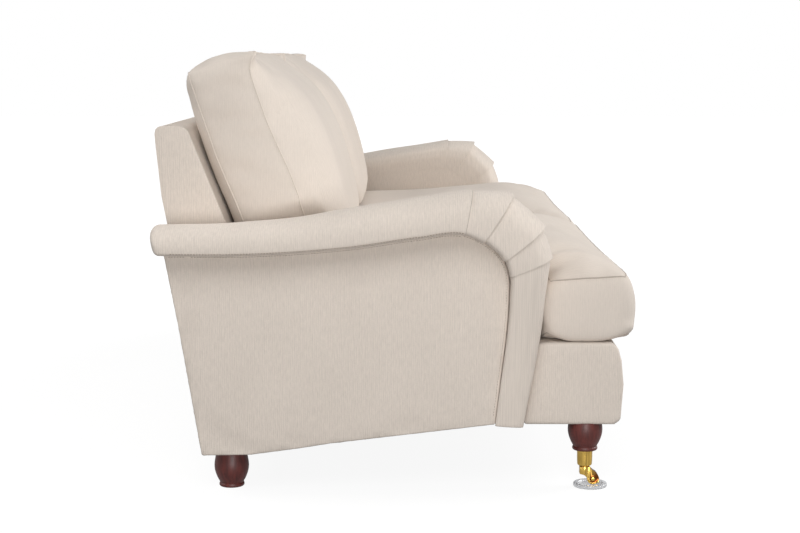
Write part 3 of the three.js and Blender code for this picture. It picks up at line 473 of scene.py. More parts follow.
def setLamps():
    for k, lamp in enumerate(studio["lamps"]):
        light = bpy.data.lights.new(f"lamp {k}", "AREA")
        light.shape, light.size, light.energy = "SQUARE", lamp["size"], lamp["power"]
        holder = bpy.data.objects.new(f"lamp {k}", light)
        holder.location = lamp["place"]
        aim = Vector(lamp["aim"]) - Vector(lamp["place"])
        holder.rotation_euler = aim.to_track_quat("-Z", "Y").to_euler()
        bpy.context.scene.collection.objects.link(holder)


# Share of plain white that a ray sees: all for the camera's and those through glass, some for reflected ones
def whiteShare(tree):
    path = tree.nodes.new("ShaderNodeLightPath")
    seen = mathNode(tree, "MAXIMUM", path.outputs["Is Camera Ray"], path.outputs["Is Transmission Ray"])
    return mathNode(tree, "MAXIMUM", seen, mathNode(tree, "MULTIPLY", path.outputs["Is Glossy Ray"], studio["gloss"]))


def mixedSurface(tree, share, first, second, output):
    pick = tree.nodes.new("ShaderNodeMixShader")
    tree.links.new(share, pick.inputs["Fac"])
    tree.links.new(first.outputs[0], pick.inputs[1])
    tree.links.new(second.outputs[0], pick.inputs[2])
    tree.links.new(pick.outputs["Shader"], tree.nodes[output].inputs["Surface"])


def setWorld():
    world = bpy.data.worlds.new("studio")
    bpy.context.scene.world = world
    world.use_nodes = True
    tree = world.node_tree
    sky, white = tree.nodes["Background"], tree.nodes.new("ShaderNodeBackground")
    for light, strength in ((sky, studio["sky"]), (white, 1)):
        light.inputs["Color"].default_value = (1, 1, 1, 1)
        light.inputs["Strength"].default_value = strength
    mixedSurface(tree, whiteShare(tree), sky, white, "World Output")


def setFloor():
    bpy.ops.object.select_all(action="DESELECT")
    bpy.ops.mesh.primitive_plane_add(size=studio["floorSize"])
    floor = bpy.context.object
    floor.name = "studio_floor"
    material, tree, shader = newMaterial("floor")
    shader.inputs["Roughness"].default_value = 0.9
    shader.inputs["Specular IOR Level"].default_value = 0
    bright, dim = studio["floorShade"]
    path = tree.nodes.new("ShaderNodeLightPath")
    shade = mathNode(tree, "ADD", mathNode(tree, "MULTIPLY", path.outputs["Is Camera Ray"], bright - dim), dim)
    tree.links.new(shade, shader.inputs["Base Color"])
    glow = tree.nodes.new("ShaderNodeEmission")
    glow.inputs["Strength"].default_value = studio["floorLight"]
    # the glow grows to plain white away from the sofa
    reach = tree.nodes.new("ShaderNodeVectorMath")
    reach.operation = "LENGTH"
    tree.links.new(objectPlaces(tree), reach.inputs[0])
    clear = tree.nodes.new("ShaderNodeMapRange")
    clear.interpolation_type = "SMOOTHSTEP"
    clear.inputs["From Min"].default_value, clear.inputs["From Max"].default_value = studio["glowReach"]
    clear.inputs["To Min"].default_value, clear.inputs["To Max"].default_value = studio["floorGlow"], 1
    tree.links.new(reach.outputs["Value"], clear.inputs["Value"])
    share = mathNode(tree, "MULTIPLY", whiteShare(tree), clear.outputs["Result"])
    mixedSurface(tree, share, shader, glow, "Material Output")
    floor.data.materials.append(material)


setCamera()
setLamps()
setWorld()
setFloor()
bpy.context.scene.view_settings.view_transform = "Standard"
print("studio done")


# Rolled arms: one padded band over the roll and down the front, folded in pleats at the turn

arm = {
    "inner": 0.88, "outer": 1.0, "overhang": 0.068, "dome": 0.014, "lipStep": 0.014,
    "pleats": {5: 0.0045, 6: 0.0085, 7: 0.0085, 8: 0.0045}, "slowWaves": 0.0008,
    # section: height of its table, points over its padded part and along its floor, and one on the crown
    "sectionHeight": 0.075, "around": 76, "floorPoints": 8, "crownPoint": 30,
    "ringStep": 0.05, "pleatRings": (-0.03, -0.015, -0.006, 0, 0.005, 0.01, 0.028),
    # rear end: turns of its dome and how small it closes; foot: size of its rings and how far they drop
    "domeTurns": (0, 12, 25, 40, 56, 72, 84, 90), "domeEnd": 0.45, "domeTip": 0.22,
    "footRings": ((0.985, 0.0012), (0.95, 0.002), (0.5, 0.002), (0, 0.002)),
    # seam with the side panel, crown, and share of the overhang, from the rear end to the foot
    "stations": (
        (0.4643, 0.4993, 0.4752, 0.5528, 1), (0.3085, 0.4993, 0.3085, 0.5581, 1),
        (0.1875, 0.5049, 0.1885, 0.5702, 1), (0.0665, 0.5162, 0.0665, 0.5922, 1),
        (-0.0496, 0.5332, -0.0546, 0.6108, 1), (-0.1428, 0.5401, -0.1587, 0.6280, 1),
        (-0.1795, 0.5250, -0.2440, 0.6210, 0.97), (-0.2222, 0.4880, -0.3080, 0.5550, 0.86),
        (-0.2351, 0.4553, -0.3230, 0.4900, 0.68), (-0.2361, 0.4101, -0.3105, 0.4252, 0.52),
        (-0.2321, 0.3397, -0.3016, 0.3448, 0.35), (-0.2232, 0.2619, -0.2887, 0.2619, 0.2),
        (-0.2093, 0.1460, -0.2668, 0.1419, 0.12),
    ),
    "innerShares": ((0, 0), (0, 0.46), (0.06, 0.72), (0.25, 0.885), (0.54, 0.97), (0.875, 1)),
    "outerShares": (
        (0.35, 0.935), (0.7, 0.8), (0.92, 0.62), (1, 0.42), (1, 0.21), (0.965, 0.07), (0.8, 0.004), (0.3, 0), (0, 0),
    ),
}


def ringStops():
    last = len(arm["stations"]) - 1
    stops = set(np.round(np.arange(0, last + 0.0001, arm["ringStep"]), 4))
    for pleat in arm["pleats"]:
        for shift in (*arm["pleatRings"], arm["lipStep"]):
            stops.add(round(pleat + shift, 4))
    return np.array(sorted(stops))


# The section's points as shares of its width and height, and in metres
def sectionRun():
    width, reach, height = arm["outer"] - arm["inner"], arm["overhang"], arm["sectionHeight"]
    run = [((s - 1) * width, t * height) for s, t in arm["innerShares"]]
    run += [(s * reach, t * height) for s, t in arm["outerShares"]]
    dense = curveThrough(run, np.linspace(0, len(run) - 1, 400), corners=(0, 1))
    across = evenly(dense, arm["around"])
    floor = np.linspace(across[-1], across[0], arm["floorPoints"] + 2)[1:-1]
    outline = np.vstack([across, floor, across[:1]])
    share = np.where(outline[:, 0] < 0, outline[:, 0] / width, outline[:, 0] / reach)
    return share, outline[:, 1] / height, outline


# How far a ring lies below the pleat before it, and how dark the painted shade in the fold there is
def tuck(stop):
    for pleat, depth in arm["pleats"].items():
        past = stop - pleat
        if 0 < past <= 1:
            if past < arm["lipStep"]:
                return -depth * past / arm["lipStep"], 1.0
            left = 1 - (past - arm["lipStep"]) / (1 - arm["lipStep"])
            return -depth * left**1.6, 1.0 if past < arm["lipStep"] + 0.006 else 0.0
    return 0.0, 0.0


def armRoll(side, sign):
    stops = ringStops()
    stations = np.array(arm["stations"])
    seam = curveThrough(stations[:, :2], stops)
    crown = curveThrough(stations[:, 2:4], stops, corners=tuple(arm["pleats"]))
    overhang = curveThrough(stations[:, 4:], stops)[:, 0]
    share, up, outline = sectionRun()
    around, over = arm["around"], arm["crownPoint"]
    width = arm["outer"] - arm["inner"]
    grid = np.zeros((len(stops), len(share), 3))
    for r in range(len(stops)):
        out = np.where(share < 0, share * width, share * arm["overhang"] * overhang[r])
        grid[r, :, 0] = arm["outer"] + out
        grid[r, :, 1:] = seam[r] + up[:, None] * (crown[r] - seam[r])
    # lift of the pleats and slow waves, along the normals, none at the seams
    normals = np.cross(np.gradient(grid, axis=1), np.gradient(grid, axis=0))
    normals /= np.maximum(np.linalg.norm(normals, axis=2, keepdims=True), 1e-12)
    middle = grid[:, :around].mean(axis=1, keepdims=True)
    if ((grid[:, over] - middle[:, 0]) * normals[:, over]).sum() < 0:
        normals = -normals
    way = np.clip(np.arange(len(share)) / (around - 1), 0, 1)
    fade = eased(way / 0.25) * (0.25 + 0.75 * eased((0.97 - way) / 0.4)) * eased((1 - way) / 0.04)
    fade[around:] = 0
    tucks = np.array([tuck(s) for s in stops])
    waves = unevenness(grid.reshape(-1, 3), 0.16, 1.7 if sign < 0 else 4.1).reshape(grid.shape[:2])
    grid += normals * (fade[None, :] * (tucks[:, :1] + arm["slowWaves"] * waves))[:, :, None]
    # painted shade along each pleat's fold line
    folds = tucks[:, 1:] * (eased(way / 0.3) * (way < 0.999))[None, :]
    # domed rear end and closed foot
    heart = grid[0, :around].mean(axis=0)
    rear = []
    for turn in arm["domeTurns"]:
        size = arm["domeEnd"] + (1 - arm["domeEnd"]) * math.cos(math.radians(turn)) if turn < 90 else arm["domeTip"]
        ring = heart + (grid[0] - heart) * size
        ring[:, 1] += arm["dome"] * math.sin(math.radians(turn))
        rear.append(ring)
    tip = np.repeat(heart[None] + [0, arm["dome"], 0], len(share), axis=0)
    low = grid[-1, :around].mean(axis=0)
    foot = [low + (grid[-1] - low) * size - [0, 0, drop] for size, drop in arm["footRings"]]
    folds = np.vstack([np.zeros((len(rear), len(share))), folds, np.zeros((len(foot), len(share)))])
    grid = np.array([tip, *rear[:0:-1], *grid, *foot])
    upright = np.zeros(len(share))
    upright[1:] = np.cumsum(np.linalg.norm(np.diff(outline, axis=0), axis=1))
    if sign < 0:
        grid[:, :, 0] *= -1
    piece = lattice(f"arm_roll_cover_{side}", grid)
    # the weave follows the distance round the section, by nearest point of the lattice
    flat = grid.reshape(-1, 3)
    tree = KDTree(len(flat))
    for k, spot in enumerate(flat):
        tree.insert(spot, k)
    tree.balance()
    found = np.array([tree.find(spot)[1] for spot in places(piece)])
    weaveMap(piece, upright=upright[found % len(share)])
    # the painted fold shade goes onto the cover
    paintedShadeAndPatina(piece, folds.ravel()[found])
    smooth(piece, 50)
    ready(piece, "frame", "linen", linen, f"arm_roll_{side}", fill=0.9)


for side, sign in sides.items():
    armRoll(side, sign)
print("arm rolls done")


# Cloth: the piece swells under pressure with its held points fixed, and no point moves past the cap

cloth = {"quality": 4, "mass": 0.25, "stiffness": 12.0, "shear": 0.4, "bending": 0.6}


def puff(piece, pressure, cap, held, shrink, frames=20, softness=None):
    start = places(piece)
    pickOnly(piece)
    modifier = piece.modifiers.new("cloth", "CLOTH")
    fabric = modifier.settings
    fabric.quality, fabric.mass = cloth["quality"], cloth["mass"]
    fabric.tension_stiffness = fabric.compression_stiffness = cloth["stiffness"]
    fabric.shear_stiffness = cloth["stiffness"] * cloth["shear"]
    fabric.bending_stiffness = cloth["bending"]
    fabric.use_pressure = True
    fabric.uniform_pressure_force = pressure
    fabric.shrink_min = shrink
    fabric.effector_weights.gravity = 0
    group = piece.vertex_groups.new(name="held")
    group.add([int(k) for k in np.flatnonzero(held)], 1.0, "REPLACE")
    fabric.vertex_group_mass = "held"
    modifier.point_cache.frame_end = frames
    for step in range(1, frames + 1):
        bpy.context.scene.frame_set(step)
    shape = piece.evaluated_get(bpy.context.evaluated_depsgraph_get())
    ended = np.empty(len(start) * 3)
    shape.data.vertices.foreach_get("co", ended)
    moved = ended.reshape(-1, 3) - start
    length = np.linalg.norm(moved, axis=1, keepdims=True)
    moved *= np.tanh(length / cap) * cap / np.maximum(length, 1e-9)
    if softness is not None:
        moved *= softness[:, None]
    piece.modifiers.remove(modifier)
    piece.vertex_groups.clear()
    putPlaces(piece, start + moved)
    bpy.context.scene.frame_set(1)


# Stuffed cushion on a plan of square corners: both faces rise from their seams to a crown, the
# sides bow between their corners and the boxing bulges

def steps(stops, spacing):
    run = [stops[0]]
    for a, b in zip(stops, stops[1:]):
        count = max(2, round((b - a) / spacing))
        run += list(np.linspace(a, b, count + 1)[1:])
    return np.array(run)


def cushionMesh(name, plan):
    corners = np.array(plan["corners"], float)
    count = len(corners)
    following = np.roll(corners, -1, axis=0)
    runs = following - corners
    lengths = np.linalg.norm(runs, axis=1)
    outward = np.stack([runs[:, 1], -runs[:, 0]], axis=1) / lengths[:, None]
    depths = [max((corners[k] - c) @ outward[k] for c in corners) for k in range(count)]
    bows, bulges, rises, eases = np.array(plan["sides"], float).T
    xs = steps(sorted(set(corners[:, 0])), plan["spacing"])
    ys = steps(sorted(set(corners[:, 1])), plan["spacing"])

    def middling(k, p):
        t = np.clip((p - corners[k]) @ runs[k] / lengths[k] ** 2, 0, 1)
        return 1 - (1 - 4 * t * (1 - t)) ** plan["squareness"]

    def bowed(p):
        moved = p.copy()
        for k in range(count):
            fade = 1 + (p - corners[k]) @ outward[k] / depths[k]
            moved += outward[k] * (bows[k] * middling(k, p) * fade)[..., None]
        return moved

    def onPlan(x, y):
        hits = sum(1 for k in range(count) if abs(runs[k][0]) < 1e-9 and corners[k][0] > x + 1e-9
                   and (corners[k][1] > y) != (following[k][1] > y))
        return hits % 2 == 1

    # the seam's points in order, with their lift, the bulge beside them and how steeply the face rises
    loop, lifts, swell, ease = [], [], [], []
    for k in range(count):
        axis = 0 if abs(runs[k][0]) > abs(runs[k][1]) else 1
        low, high = sorted((corners[k][axis], following[k][axis]))
        ahead = (xs, ys)[axis]
        ahead = ahead[(ahead >= low - 1e-9) & (ahead <= high + 1e-9)]
        if following[k][axis] < corners[k][axis]:
            ahead = ahead[::-1]
        for step, stop in enumerate(ahead[:-1]):
            p = corners[k].copy()
            p[axis] = stop
            loop.append(p)
            lifts.append(middling(k, p) * rises[k])
            ease.append(eases[k])
            swell.append((bulges[k] + bulges[k - 1]) / 2 if step == 0 else bulges[k])
    loop, lifts, swell = np.array(loop), np.array(lifts), np.array(swell)
    ring = bowed(loop)
    # corners rounded, with a slight ear at each
    for _ in range(plan["rounding"]):
        near = np.min([np.linalg.norm(loop - c, axis=1) for c in corners], axis=0) < plan["cornerReach"]
        ring[near] = (ring * 0.5 + (np.roll(ring, 1, axis=0) + np.roll(ring, -1, axis=0)) * 0.25)[near]
    for _ in range(3):
        swell = swell * 0.5 + (np.roll(swell, 1) + np.roll(swell, -1)) * 0.25
    ahead = np.roll(ring, -1, axis=0) - np.roll(ring, 1, axis=0)
    away = np.stack([ahead[:, 1], -ahead[:, 0]], axis=1)
    away /= np.linalg.norm(away, axis=1, keepdims=True)

    index = {(round(p[0], 6), round(p[1], 6)): k for k, p in enumerate(loop)}
    gridX, gridY = np.meshgrid(xs, ys, indexing="ij")
    flat = np.stack([gridX, gridY], axis=-1)
    spread = bowed(flat)
    inside = np.array([[onPlan(x, y) for y in ys] for x in xs])

    # distance from the seam to each point, and the seam's lift where it is nearest
    points = spread.reshape(-1, 2)
    distance, liftHere = np.full(len(points), 9.0), np.zeros(len(points))
    for a, b, low, high, slope in zip(ring, np.roll(ring, -1, axis=0), lifts, np.roll(lifts, -1), ease):
        run = b - a
        t = np.clip((points - a) @ run / max(run @ run, 1e-12), 0, 1)
        gap = np.linalg.norm(a + t[:, None] * run - points, axis=1) * slope
        closer = gap < distance
        distance[closer] = gap[closer]
        liftHere[closer] = (low + t * (high - low))[closer]
    distance, liftHere = distance.reshape(gridX.shape), liftHere.reshape(gridX.shape)
    wayUp = (spread[..., 1] - ys[0]) / (ys[-1] - ys[0])

    # crown and reach at each point, from their values along the plan
    def profiled(rows, column):
        dense = curveThrough(rows, np.linspace(0, len(rows) - 1, 120))
        return np.interp(wayUp, dense[:, 0], dense[:, column])

    vertices, faces = [], []

    def seamHeight(face, lift):
        return face["edge"] + face["middle"] * lift

    def addFace(face, top):
        seamRing = []
        for k in range(len(ring)):
            seamRing.append(len(vertices))
            vertices.append((*ring[k], seamHeight(face, lifts[k])))
        rise = 1 - (1 - np.minimum(1, distance / profiled(face["rows"], 2))) ** 2
        height = seamHeight(face, liftHere) * (1 - rise) + profiled(face["rows"], 1) * rise
        sewn = np.array([[(round(x, 6), round(y, 6)) in index for y in ys] for x in xs])
        for _ in range(plan["calming"]):
            total, parts = np.zeros(height.shape), np.zeros(height.shape)
            for step, axis in ((1, 0), (-1, 0), (1, 1), (-1, 1)):
                there = np.roll(inside | sewn, step, axis)
                total += np.where(there, np.roll(height, step, axis), 0)
                parts += there
            calmed = 0.5 * height + 0.5 * total / np.maximum(parts, 1)
            height = np.where(inside & ~sewn & (parts > 0), calmed, height)
        number = -np.ones(gridX.shape, int)
        for i in range(len(xs)):
            for j in range(len(ys)):
                key = (round(xs[i], 6), round(ys[j], 6))
                if key in index:
                    number[i, j] = seamRing[index[key]]
                elif inside[i, j] or any(0 <= a < len(xs) and 0 <= b < len(ys) and inside[a, b]
                                         for a, b in ((i - 1, j), (i, j - 1), (i - 1, j - 1))):
                    number[i, j] = len(vertices)
                    vertices.append((*spread[i, j], height[i, j]))
        for i in range(len(xs) - 1):
            for j in range(len(ys) - 1):
                if onPlan((xs[i] + xs[i + 1]) / 2, (ys[j] + ys[j + 1]) / 2):
                    cell = [number[i, j], number[i + 1, j], number[i + 1, j + 1], number[i, j + 1]]
                    faces.append(cell if top else cell[::-1])
        return seamRing

    rings = [addFace(plan["low"], False)]
    for up in np.linspace(0, 1, plan["boxRings"] + 2)[1:-1]:
        out = plan["boxFullness"] * math.sin(math.pi * up) ** 0.6 * (1.12 - 0.24 * up)
        line = []
        for k in range(len(ring)):
            foot, head = seamHeight(plan["low"], lifts[k]), seamHeight(plan["high"], lifts[k])
            line.append(len(vertices))
            vertices.append((*(ring[k] + away[k] * out * swell[k]), foot + (head - foot) * up))
        rings.append(line)
    rings.append(addFace(plan["high"], True))
    for a, b in zip(rings, rings[1:]):
        for k in range(len(a)):
            n = (k + 1) % len(a)
            faces.append([a[k], a[n], b[n], b[k]])
    return meshPiece(name, vertices, faces), rings[0], rings[-1]


# Thin welt sewn in along a closed run of points
def weltTube(name, path, radius):
    path = np.asarray(path)
    ahead = np.roll(path, -1, axis=0) - np.roll(path, 1, axis=0)
    ahead /= np.maximum(np.linalg.norm(ahead, axis=1, keepdims=True), 1e-9)
    away = path - path.mean(axis=0)
    away -= (away * ahead).sum(axis=1, keepdims=True) * ahead
    away /= np.maximum(np.linalg.norm(away, axis=1, keepdims=True), 1e-9)
    other = np.cross(ahead, away)
    turns = np.linspace(0, 2 * math.pi, 9)[None, :, None]  # eight sides
    grid = path[:, None] + radius * (np.cos(turns) * away[:, None] + np.sin(turns) * other[:, None])
    piece = lattice(name, np.vstack([grid, grid[:1]]))
    smooth(piece)
    weaveMap(piece)
    return piece


def alongSeam(piece, spots):
    tree = KDTree(len(piece.data.vertices))
    for k, vertex in enumerate(piece.data.vertices):
        tree.insert(vertex.co, k)
    tree.balance()
    return np.array([tree.find(spot)[0] for spot in spots])


def leaned(spots, angle):
    x, y, z = spots.T
    return np.stack([x, y * math.sin(angle) - z * math.cos(angle), y * math.cos(angle) + z * math.sin(angle)], axis=1)


seatCushion = {
    "corners": (
        (-0.956, -0.478), (-0.0035, -0.478), (-0.0035, 0.24286),
        (-0.874, 0.24286), (-0.874, -0.3205), (-0.956, -0.3205),
    ),
    # each side: bow, bulge of the boxing, lift of its seam, and how steeply the faces rise from it
    "sides": ((-0.007, 0.023, 0, 1), (-0.007, 0.0015, -0.3, 0.55), (-0.007, 0.0015, 1, 1), (-0.007, 0.0015, 1, 1),
              (0, 0.0015, 0, 1), (0, 0.005, 0, 1)),
    # each face: height of its seam, rise of the seam at mid side, and rows of place along the plan, crown, reach
    "low": {"edge": 0.3095, "middle": 0, "rows": ((0, 0.3095, 0.23), (1, 0.3095, 0.23))},
    "high": {"edge": 0.445, "middle": 0.018, "rows": (
        (0, 0.502, 0.15), (0.2, 0.504, 0.16), (0.4, 0.493, 0.16), (0.57, 0.4815, 0.17),
        (0.75, 0.478, 0.2), (1, 0.48, 0.2),
    )},
    "squareness": 1, "spacing": 0.015, "calming": 14, "rounding": 3, "cornerReach": 0.03,
    "boxRings": 8, "boxFullness": 0.95,
    "pressure": 3.5, "cap": 0.007, "shrink": -0.02, "welt": 0.0014, "seamShade": 0.15,
    # soft moves, as place, reach and move: the ear's lower corners are drawn up, its rear follows the
    # pillar, and the top sinks to a valley between the two cushions
    "nudges": (
        ((-0.956, -0.482, 0.3095), 0.03, (0, -0.019, 0.021)),
        ((-0.956, -0.3205, 0.40), (0.018, 0.022, 0.075), (-0.006, 0.007, 0)),
        ((-0.874, -0.3205, 0.46), (0.05, 0.07, 0.03), (0, 0, 0.016)),
        ((-0.0035, -0.478, 0.45), (0.025, 0.025, 0.04), (-0.002, 0.008, -0.005)),
        ((-0.0035, -0.2, 0.47), (0.045, 0.25, 0.05), (0, 0, -0.028)),
        ((-0.93, -0.3205, 0.40), (0.07, 0.03, 0.045), (0, 0.008, 0)),
        ((-0.956, -0.3205, 0.3095), 0.028, (0, 0, 0.02)),
    ),
    # the front seam across both cushions: how far it climbs and steps back
    "frontAcross": (-0.956, 0, 0.956), "frontRise": (0.003, 0.018, 0.02), "frontBack": (-0.005, 0.013, 0.011),
}
backCushion = {
    "corners": ((-0.856, 0.0235), (-0.0035, 0.0235), (-0.0035, 0.3546), (-0.856, 0.3546)),
    "sides": ((0.1, 0.008, 1, 1), (-0.008, 0.002, 0.6, 0.8), (0.008, 0.008, 1, 1), (-0.008, 0.009, 0.6, 0.9)),
    "low": {"edge": -0.067, "middle": 0, "rows": ((0, -0.081, 0.024), (1, -0.081, 0.024))},
    "high": {"edge": 0.065, "middle": -0.014, "rows": (
        (-0.3, 0.168, 0.07), (0, 0.171, 0.085), (0.2, 0.168, 0.11), (0.45, 0.152, 0.135), (0.7, 0.133, 0.14),
        (0.88, 0.112, 0.13), (1, 0.095, 0.12),
    )},
    "squareness": 2.6, "spacing": 0.0145, "calming": 2, "rounding": 3, "cornerReach": 0.028,
    "boxRings": 8, "boxFullness": 0.95,
    "lean": 18, "slump": 0.095, "pressure": 3.5, "cap": 0.010, "shrink": -0.025, "welt": 0.0015, "seamShade": 0.2,
    "seat": 0.4905,
    # the outer seams stand further forward low down, and the lower outer corner is drawn up
    "nudges": (
        ((-0.87, 0.235, 0.62), (0.16, 0.07, 0.1), (0, -0.014, 0)),
        ((-0.87, 0.335, 0.55), (0.2, 0.06, 0.09), (0, -0.010, 0)),
        ((-0.856, 0.2, 0.57), (0.05, 0.06, 0.03), (0, 0, 0.012)),
    ),
    # upper front corners and waves of the seam between them, as x, forward, up and width
    "ears": (
        (-0.85, -0.034, 0.014, 0.03), (-0.80, -0.010, 0.004, 0.02), (-0.70, 0.002, -0.004, 0.03),
        (-0.42, -0.006, 0.002, 0.07), (-0.16, 0.001, -0.004, 0.04), (-0.01, -0.022, 0.008, 0.03),
    ),
    "farEar": 0.4,  # share of its lift that the outer ear of the right cushion keeps
    # upper rear corners, as place, reach and move
    "rearEars": (
        ((-0.856, 0.43, 0.862), 0.025, (0, 0.002, 0.004)), ((-0.0035, 0.43, 0.862), 0.025, (0, 0.002, 0.004)),
    ),
    # folds that run in from the lower front corner, as start, end, width and depth
    "folds": (
        ((-0.85, 0.185, 0.575), (-0.80, 0.13, 0.64), 0.011, 0.005),
        ((-0.85, 0.19, 0.575), (-0.77, 0.12, 0.575), 0.012, 0.004),
        ((-0.86, 0.22, 0.60), (-0.84, 0.2, 0.69), 0.009, 0.003),
    ),
}


def dressCushion(piece, bottom, top, plan, calm):
    held = np.zeros(len(piece.data.vertices), bool)
    held[bottom] = held[top] = True
    turnFacesOut(piece, merge=0)
    puff(piece, plan["pressure"], plan["cap"], held, plan["shrink"], softness=calm(places(piece)))
    seams = [places(piece)[ring] for ring in (bottom, top)]
    applyModifier(piece, "SUBSURF", levels=1, render_levels=1)
    weaveMap(piece)
    smooth(piece)
    seams = [alongSeam(piece, seam) for seam in seams]
    lines = [evenly(np.vstack([seam, seam[:1]]), 1500) for seam in seams]
    tree = KDTree(sum(len(line) for line in lines))
    for line in lines:
        for spot in line:
            tree.insert(spot, 0)
    tree.balance()
    away = np.array([tree.find(spot)[2] for spot in places(piece)])
    # painted shade along the seams, darkest at the seam and gone 9 mm from it
    paintedShadeAndPatina(piece, plan["seamShade"] * np.clip(1 - away / 0.009, 0, 1))
    return seams


def sewWelts(kind, side, wheres, seams, radius, material):
    for where, seam in zip(wheres, seams):
        welt = weltTube(f"{kind}_{where}_welt_{side}", seam, radius)
        ready(welt, f"{kind}_{side}", "linen", material)


# Little swelling where the cushion lies on the deck or meets the arm, the back and its twin
def seatCalm(spots):
    x, z = np.abs(spots[:, 0]), spots[:, 2]
    share = np.clip((z - 0.3105) / 0.02, 0, 1)
    return share * np.clip((0.962 - x) / 0.004, 0.15, 1) * np.clip((x - 0.002) / 0.004, 0.1, 1)


def backCalm(spots):
    x, z = np.abs(spots[:, 0]), spots[:, 2]
    return np.clip((x - 0.002) / 0.004, 0.1, 1) * np.clip((z - 0.492) / 0.01, 0.1, 1)


def seatCushionPiece(side, sign):
    plan = seatCushion
    piece, bottom, top = cushionMesh(f"seat_cushion_cover_{side}", plan)
    spots = places(piece)
    x, y, z = spots.T
    for centre, radius, move in plan["nudges"]:
        spots = nudge(spots, centre, radius, move)
    foot, edge = plan["low"]["edge"], plan["corners"][4][0]
    up = np.clip((z - foot) / 0.135, 0, 1)
    spots[:, 1] += eased((edge + 0.002 - x) / 0.01) * np.clip((y + 0.45) / 0.13, 0, 1) * (0.0125 - 0.0105 * up)
    spots[:, 2] -= 0.010 * eased((edge + 0.002 - x) / 0.02) * np.clip((y + 0.478) / 0.1575, 0, 1) * up
    if sign > 0:
        spots[:, 0] *= -1
    # the front seam climbs and steps back towards the middle of the seat
    front = eased((-0.2 - y) / 0.25)
    room = np.clip(1 - (z - 0.448) / 0.05, 0.25, 1)
    spots[:, 2] += front * up * room * np.interp(spots[:, 0], plan["frontAcross"], plan["frontRise"])
    spots[:, 1] += front * up**2 * np.interp(spots[:, 0], plan["frontAcross"], plan["frontBack"])
    putPlaces(piece, spots)
    seams = dressCushion(piece, bottom, top, plan, seatCalm)
    ready(piece, f"seat_cushion_{side}", "linen", linenSoft, f"seat_cushion_{side}", fill=0.85)
    sewWelts("seat_cushion", side, ("lower", "upper"), seams, plan["welt"], shadedWeltLinen)


def backCushionPiece(side, sign):
    plan = backCushion
    piece, bottom, top = cushionMesh(f"back_cushion_cover_{side}", plan)
    # the filling sinks to the foot of the front
    spots = places(piece)
    sunk = plan["slump"] * np.clip((spots[:, 2] - 0.06) / 0.11, 0, 1) * eased((0.19 - spots[:, 1]) / 0.2)
    spots = leaned(spots, math.radians(plan["lean"]))
    spots[:, 2] -= sunk
    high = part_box("back_cushion_left")[1]
    spots[:, 2] += high.z - 0.004 - spots[:, 2].max()
    spots[:, 1] += high.y - 0.002 - spots[:, 1].max()
    for centre, radius, move in plan["nudges"]:
        spots = nudge(spots, centre, radius, move)
    for x, ahead, lift, width in plan["ears"]:
        kept = plan["farEar"] if sign > 0 and x == plan["ears"][0][0] else 1
        spots = nudge(spots, (x, 0.302, 0.903), (width, 0.03, 0.016), (0, ahead * (0.6 + 0.4 * kept), lift * kept))
    for centre, radius, move in plan["rearEars"]:
        spots = nudge(spots, centre, radius, move)
    for start, end, width, depth in plan["folds"]:
        spots = foldIn(spots, start, end, width, depth)
    if sign > 0:
        spots[:, 0] *= -1
    putPlaces(piece, spots)
    seams = dressCushion(piece, bottom, top, plan, backCalm)
    # flattened where it sits on the seat
    spots = places(piece)
    spots[:, 2] = np.maximum(spots[:, 2], plan["seat"])
    putPlaces(piece, spots)
    ready(piece, f"back_cushion_{side}", "linen", linenSoft, f"back_cushion_{side}", fill=0.9)
    sewWelts("back_cushion", side, ("rear", "front"), seams, plan["welt"], linenSoft)


for side, sign in sides.items():
    seatCushionPiece(side, sign)
    backCushionPiece(side, sign)
print("cushions done")


# Panels and pads: the solid's own outline, eased at its edges, divided evenly and filled out

# how far the edges run on under their neighbours, and the small roundings of the feet
edges = {
    "armTop": 0.012, "armFront": 0.010, "armIn": 0.0012, "armRear": 0.002,
    "borderCorner": (0, 0.006, 0.004), "borderFront": 0.004, "borderFoot": 0.0022,
    "backSide": 0.0101, "backNarrow": 0.8553 / 0.876,
}


def tuckedUnder(node, spots):
    x, y, z = spots.T
    if node.startswith("inner_arm"):
        # its upper and front edges run on inside the roll
        hidden = (z > 0.32) | (y < -0.22)
        spots[z > 0.32, 2] += edges["armTop"]
        spots[y < -0.22, 1] -= edges["armFront"]
        spots[hidden & (x > -0.89), 0] -= edges["armIn"]
    if node.startswith("outer_arm"):
        # the lower edge runs in one curve from the rear leg to the pillar
        line = curveThrough(lowerLine, np.linspace(0, len(lowerLine) - 1, 200))
        low = (z < 0.16) & (y < 0.31) & (y > -0.2)
        spots[low, 2] = np.interp(y[low], line[::-1, 0], line[::-1, 1])
        spots[(z < 0.16) & (y >= 0.31), 2] -= edges["armRear"]
    if node == "front_border":
        # its foot is filled out to a small rounding
        foot = z < 0.1405
        spots[(z > 0.1405) & (z < 0.156) & (y < -0.44)] -= edges["borderCorner"]
        spots[foot & (y < -0.43), 1] -= edges["borderFront"]
        spots[foot, 2] -= edges["borderFoot"]
    if node == "inner_back":
        # its sides run back to the rear edge, past the outer panel
        rear = np.interp(z, [row[1] for row in rearLine], [row[0] for row in rearLine])
        spots[(np.abs(x) > 0.85) & (np.abs(y - rear + 0.0103) < 0.004) & (z < 0.735), 1] += edges["backSide"]
    if node == "outer_back_panel":
        spots[(np.abs(x) < 0.95) & (z > 0.49), 0] *= edges["backNarrow"]
    return spots


# lower edge of the side panel, as y and z
lowerLine = (
    (0.3, 0.081), (0.24, 0.0875), (0.17, 0.099), (0.09, 0.1115), (0, 0.1225), (-0.1, 0.132), (-0.24, 0.14),
)
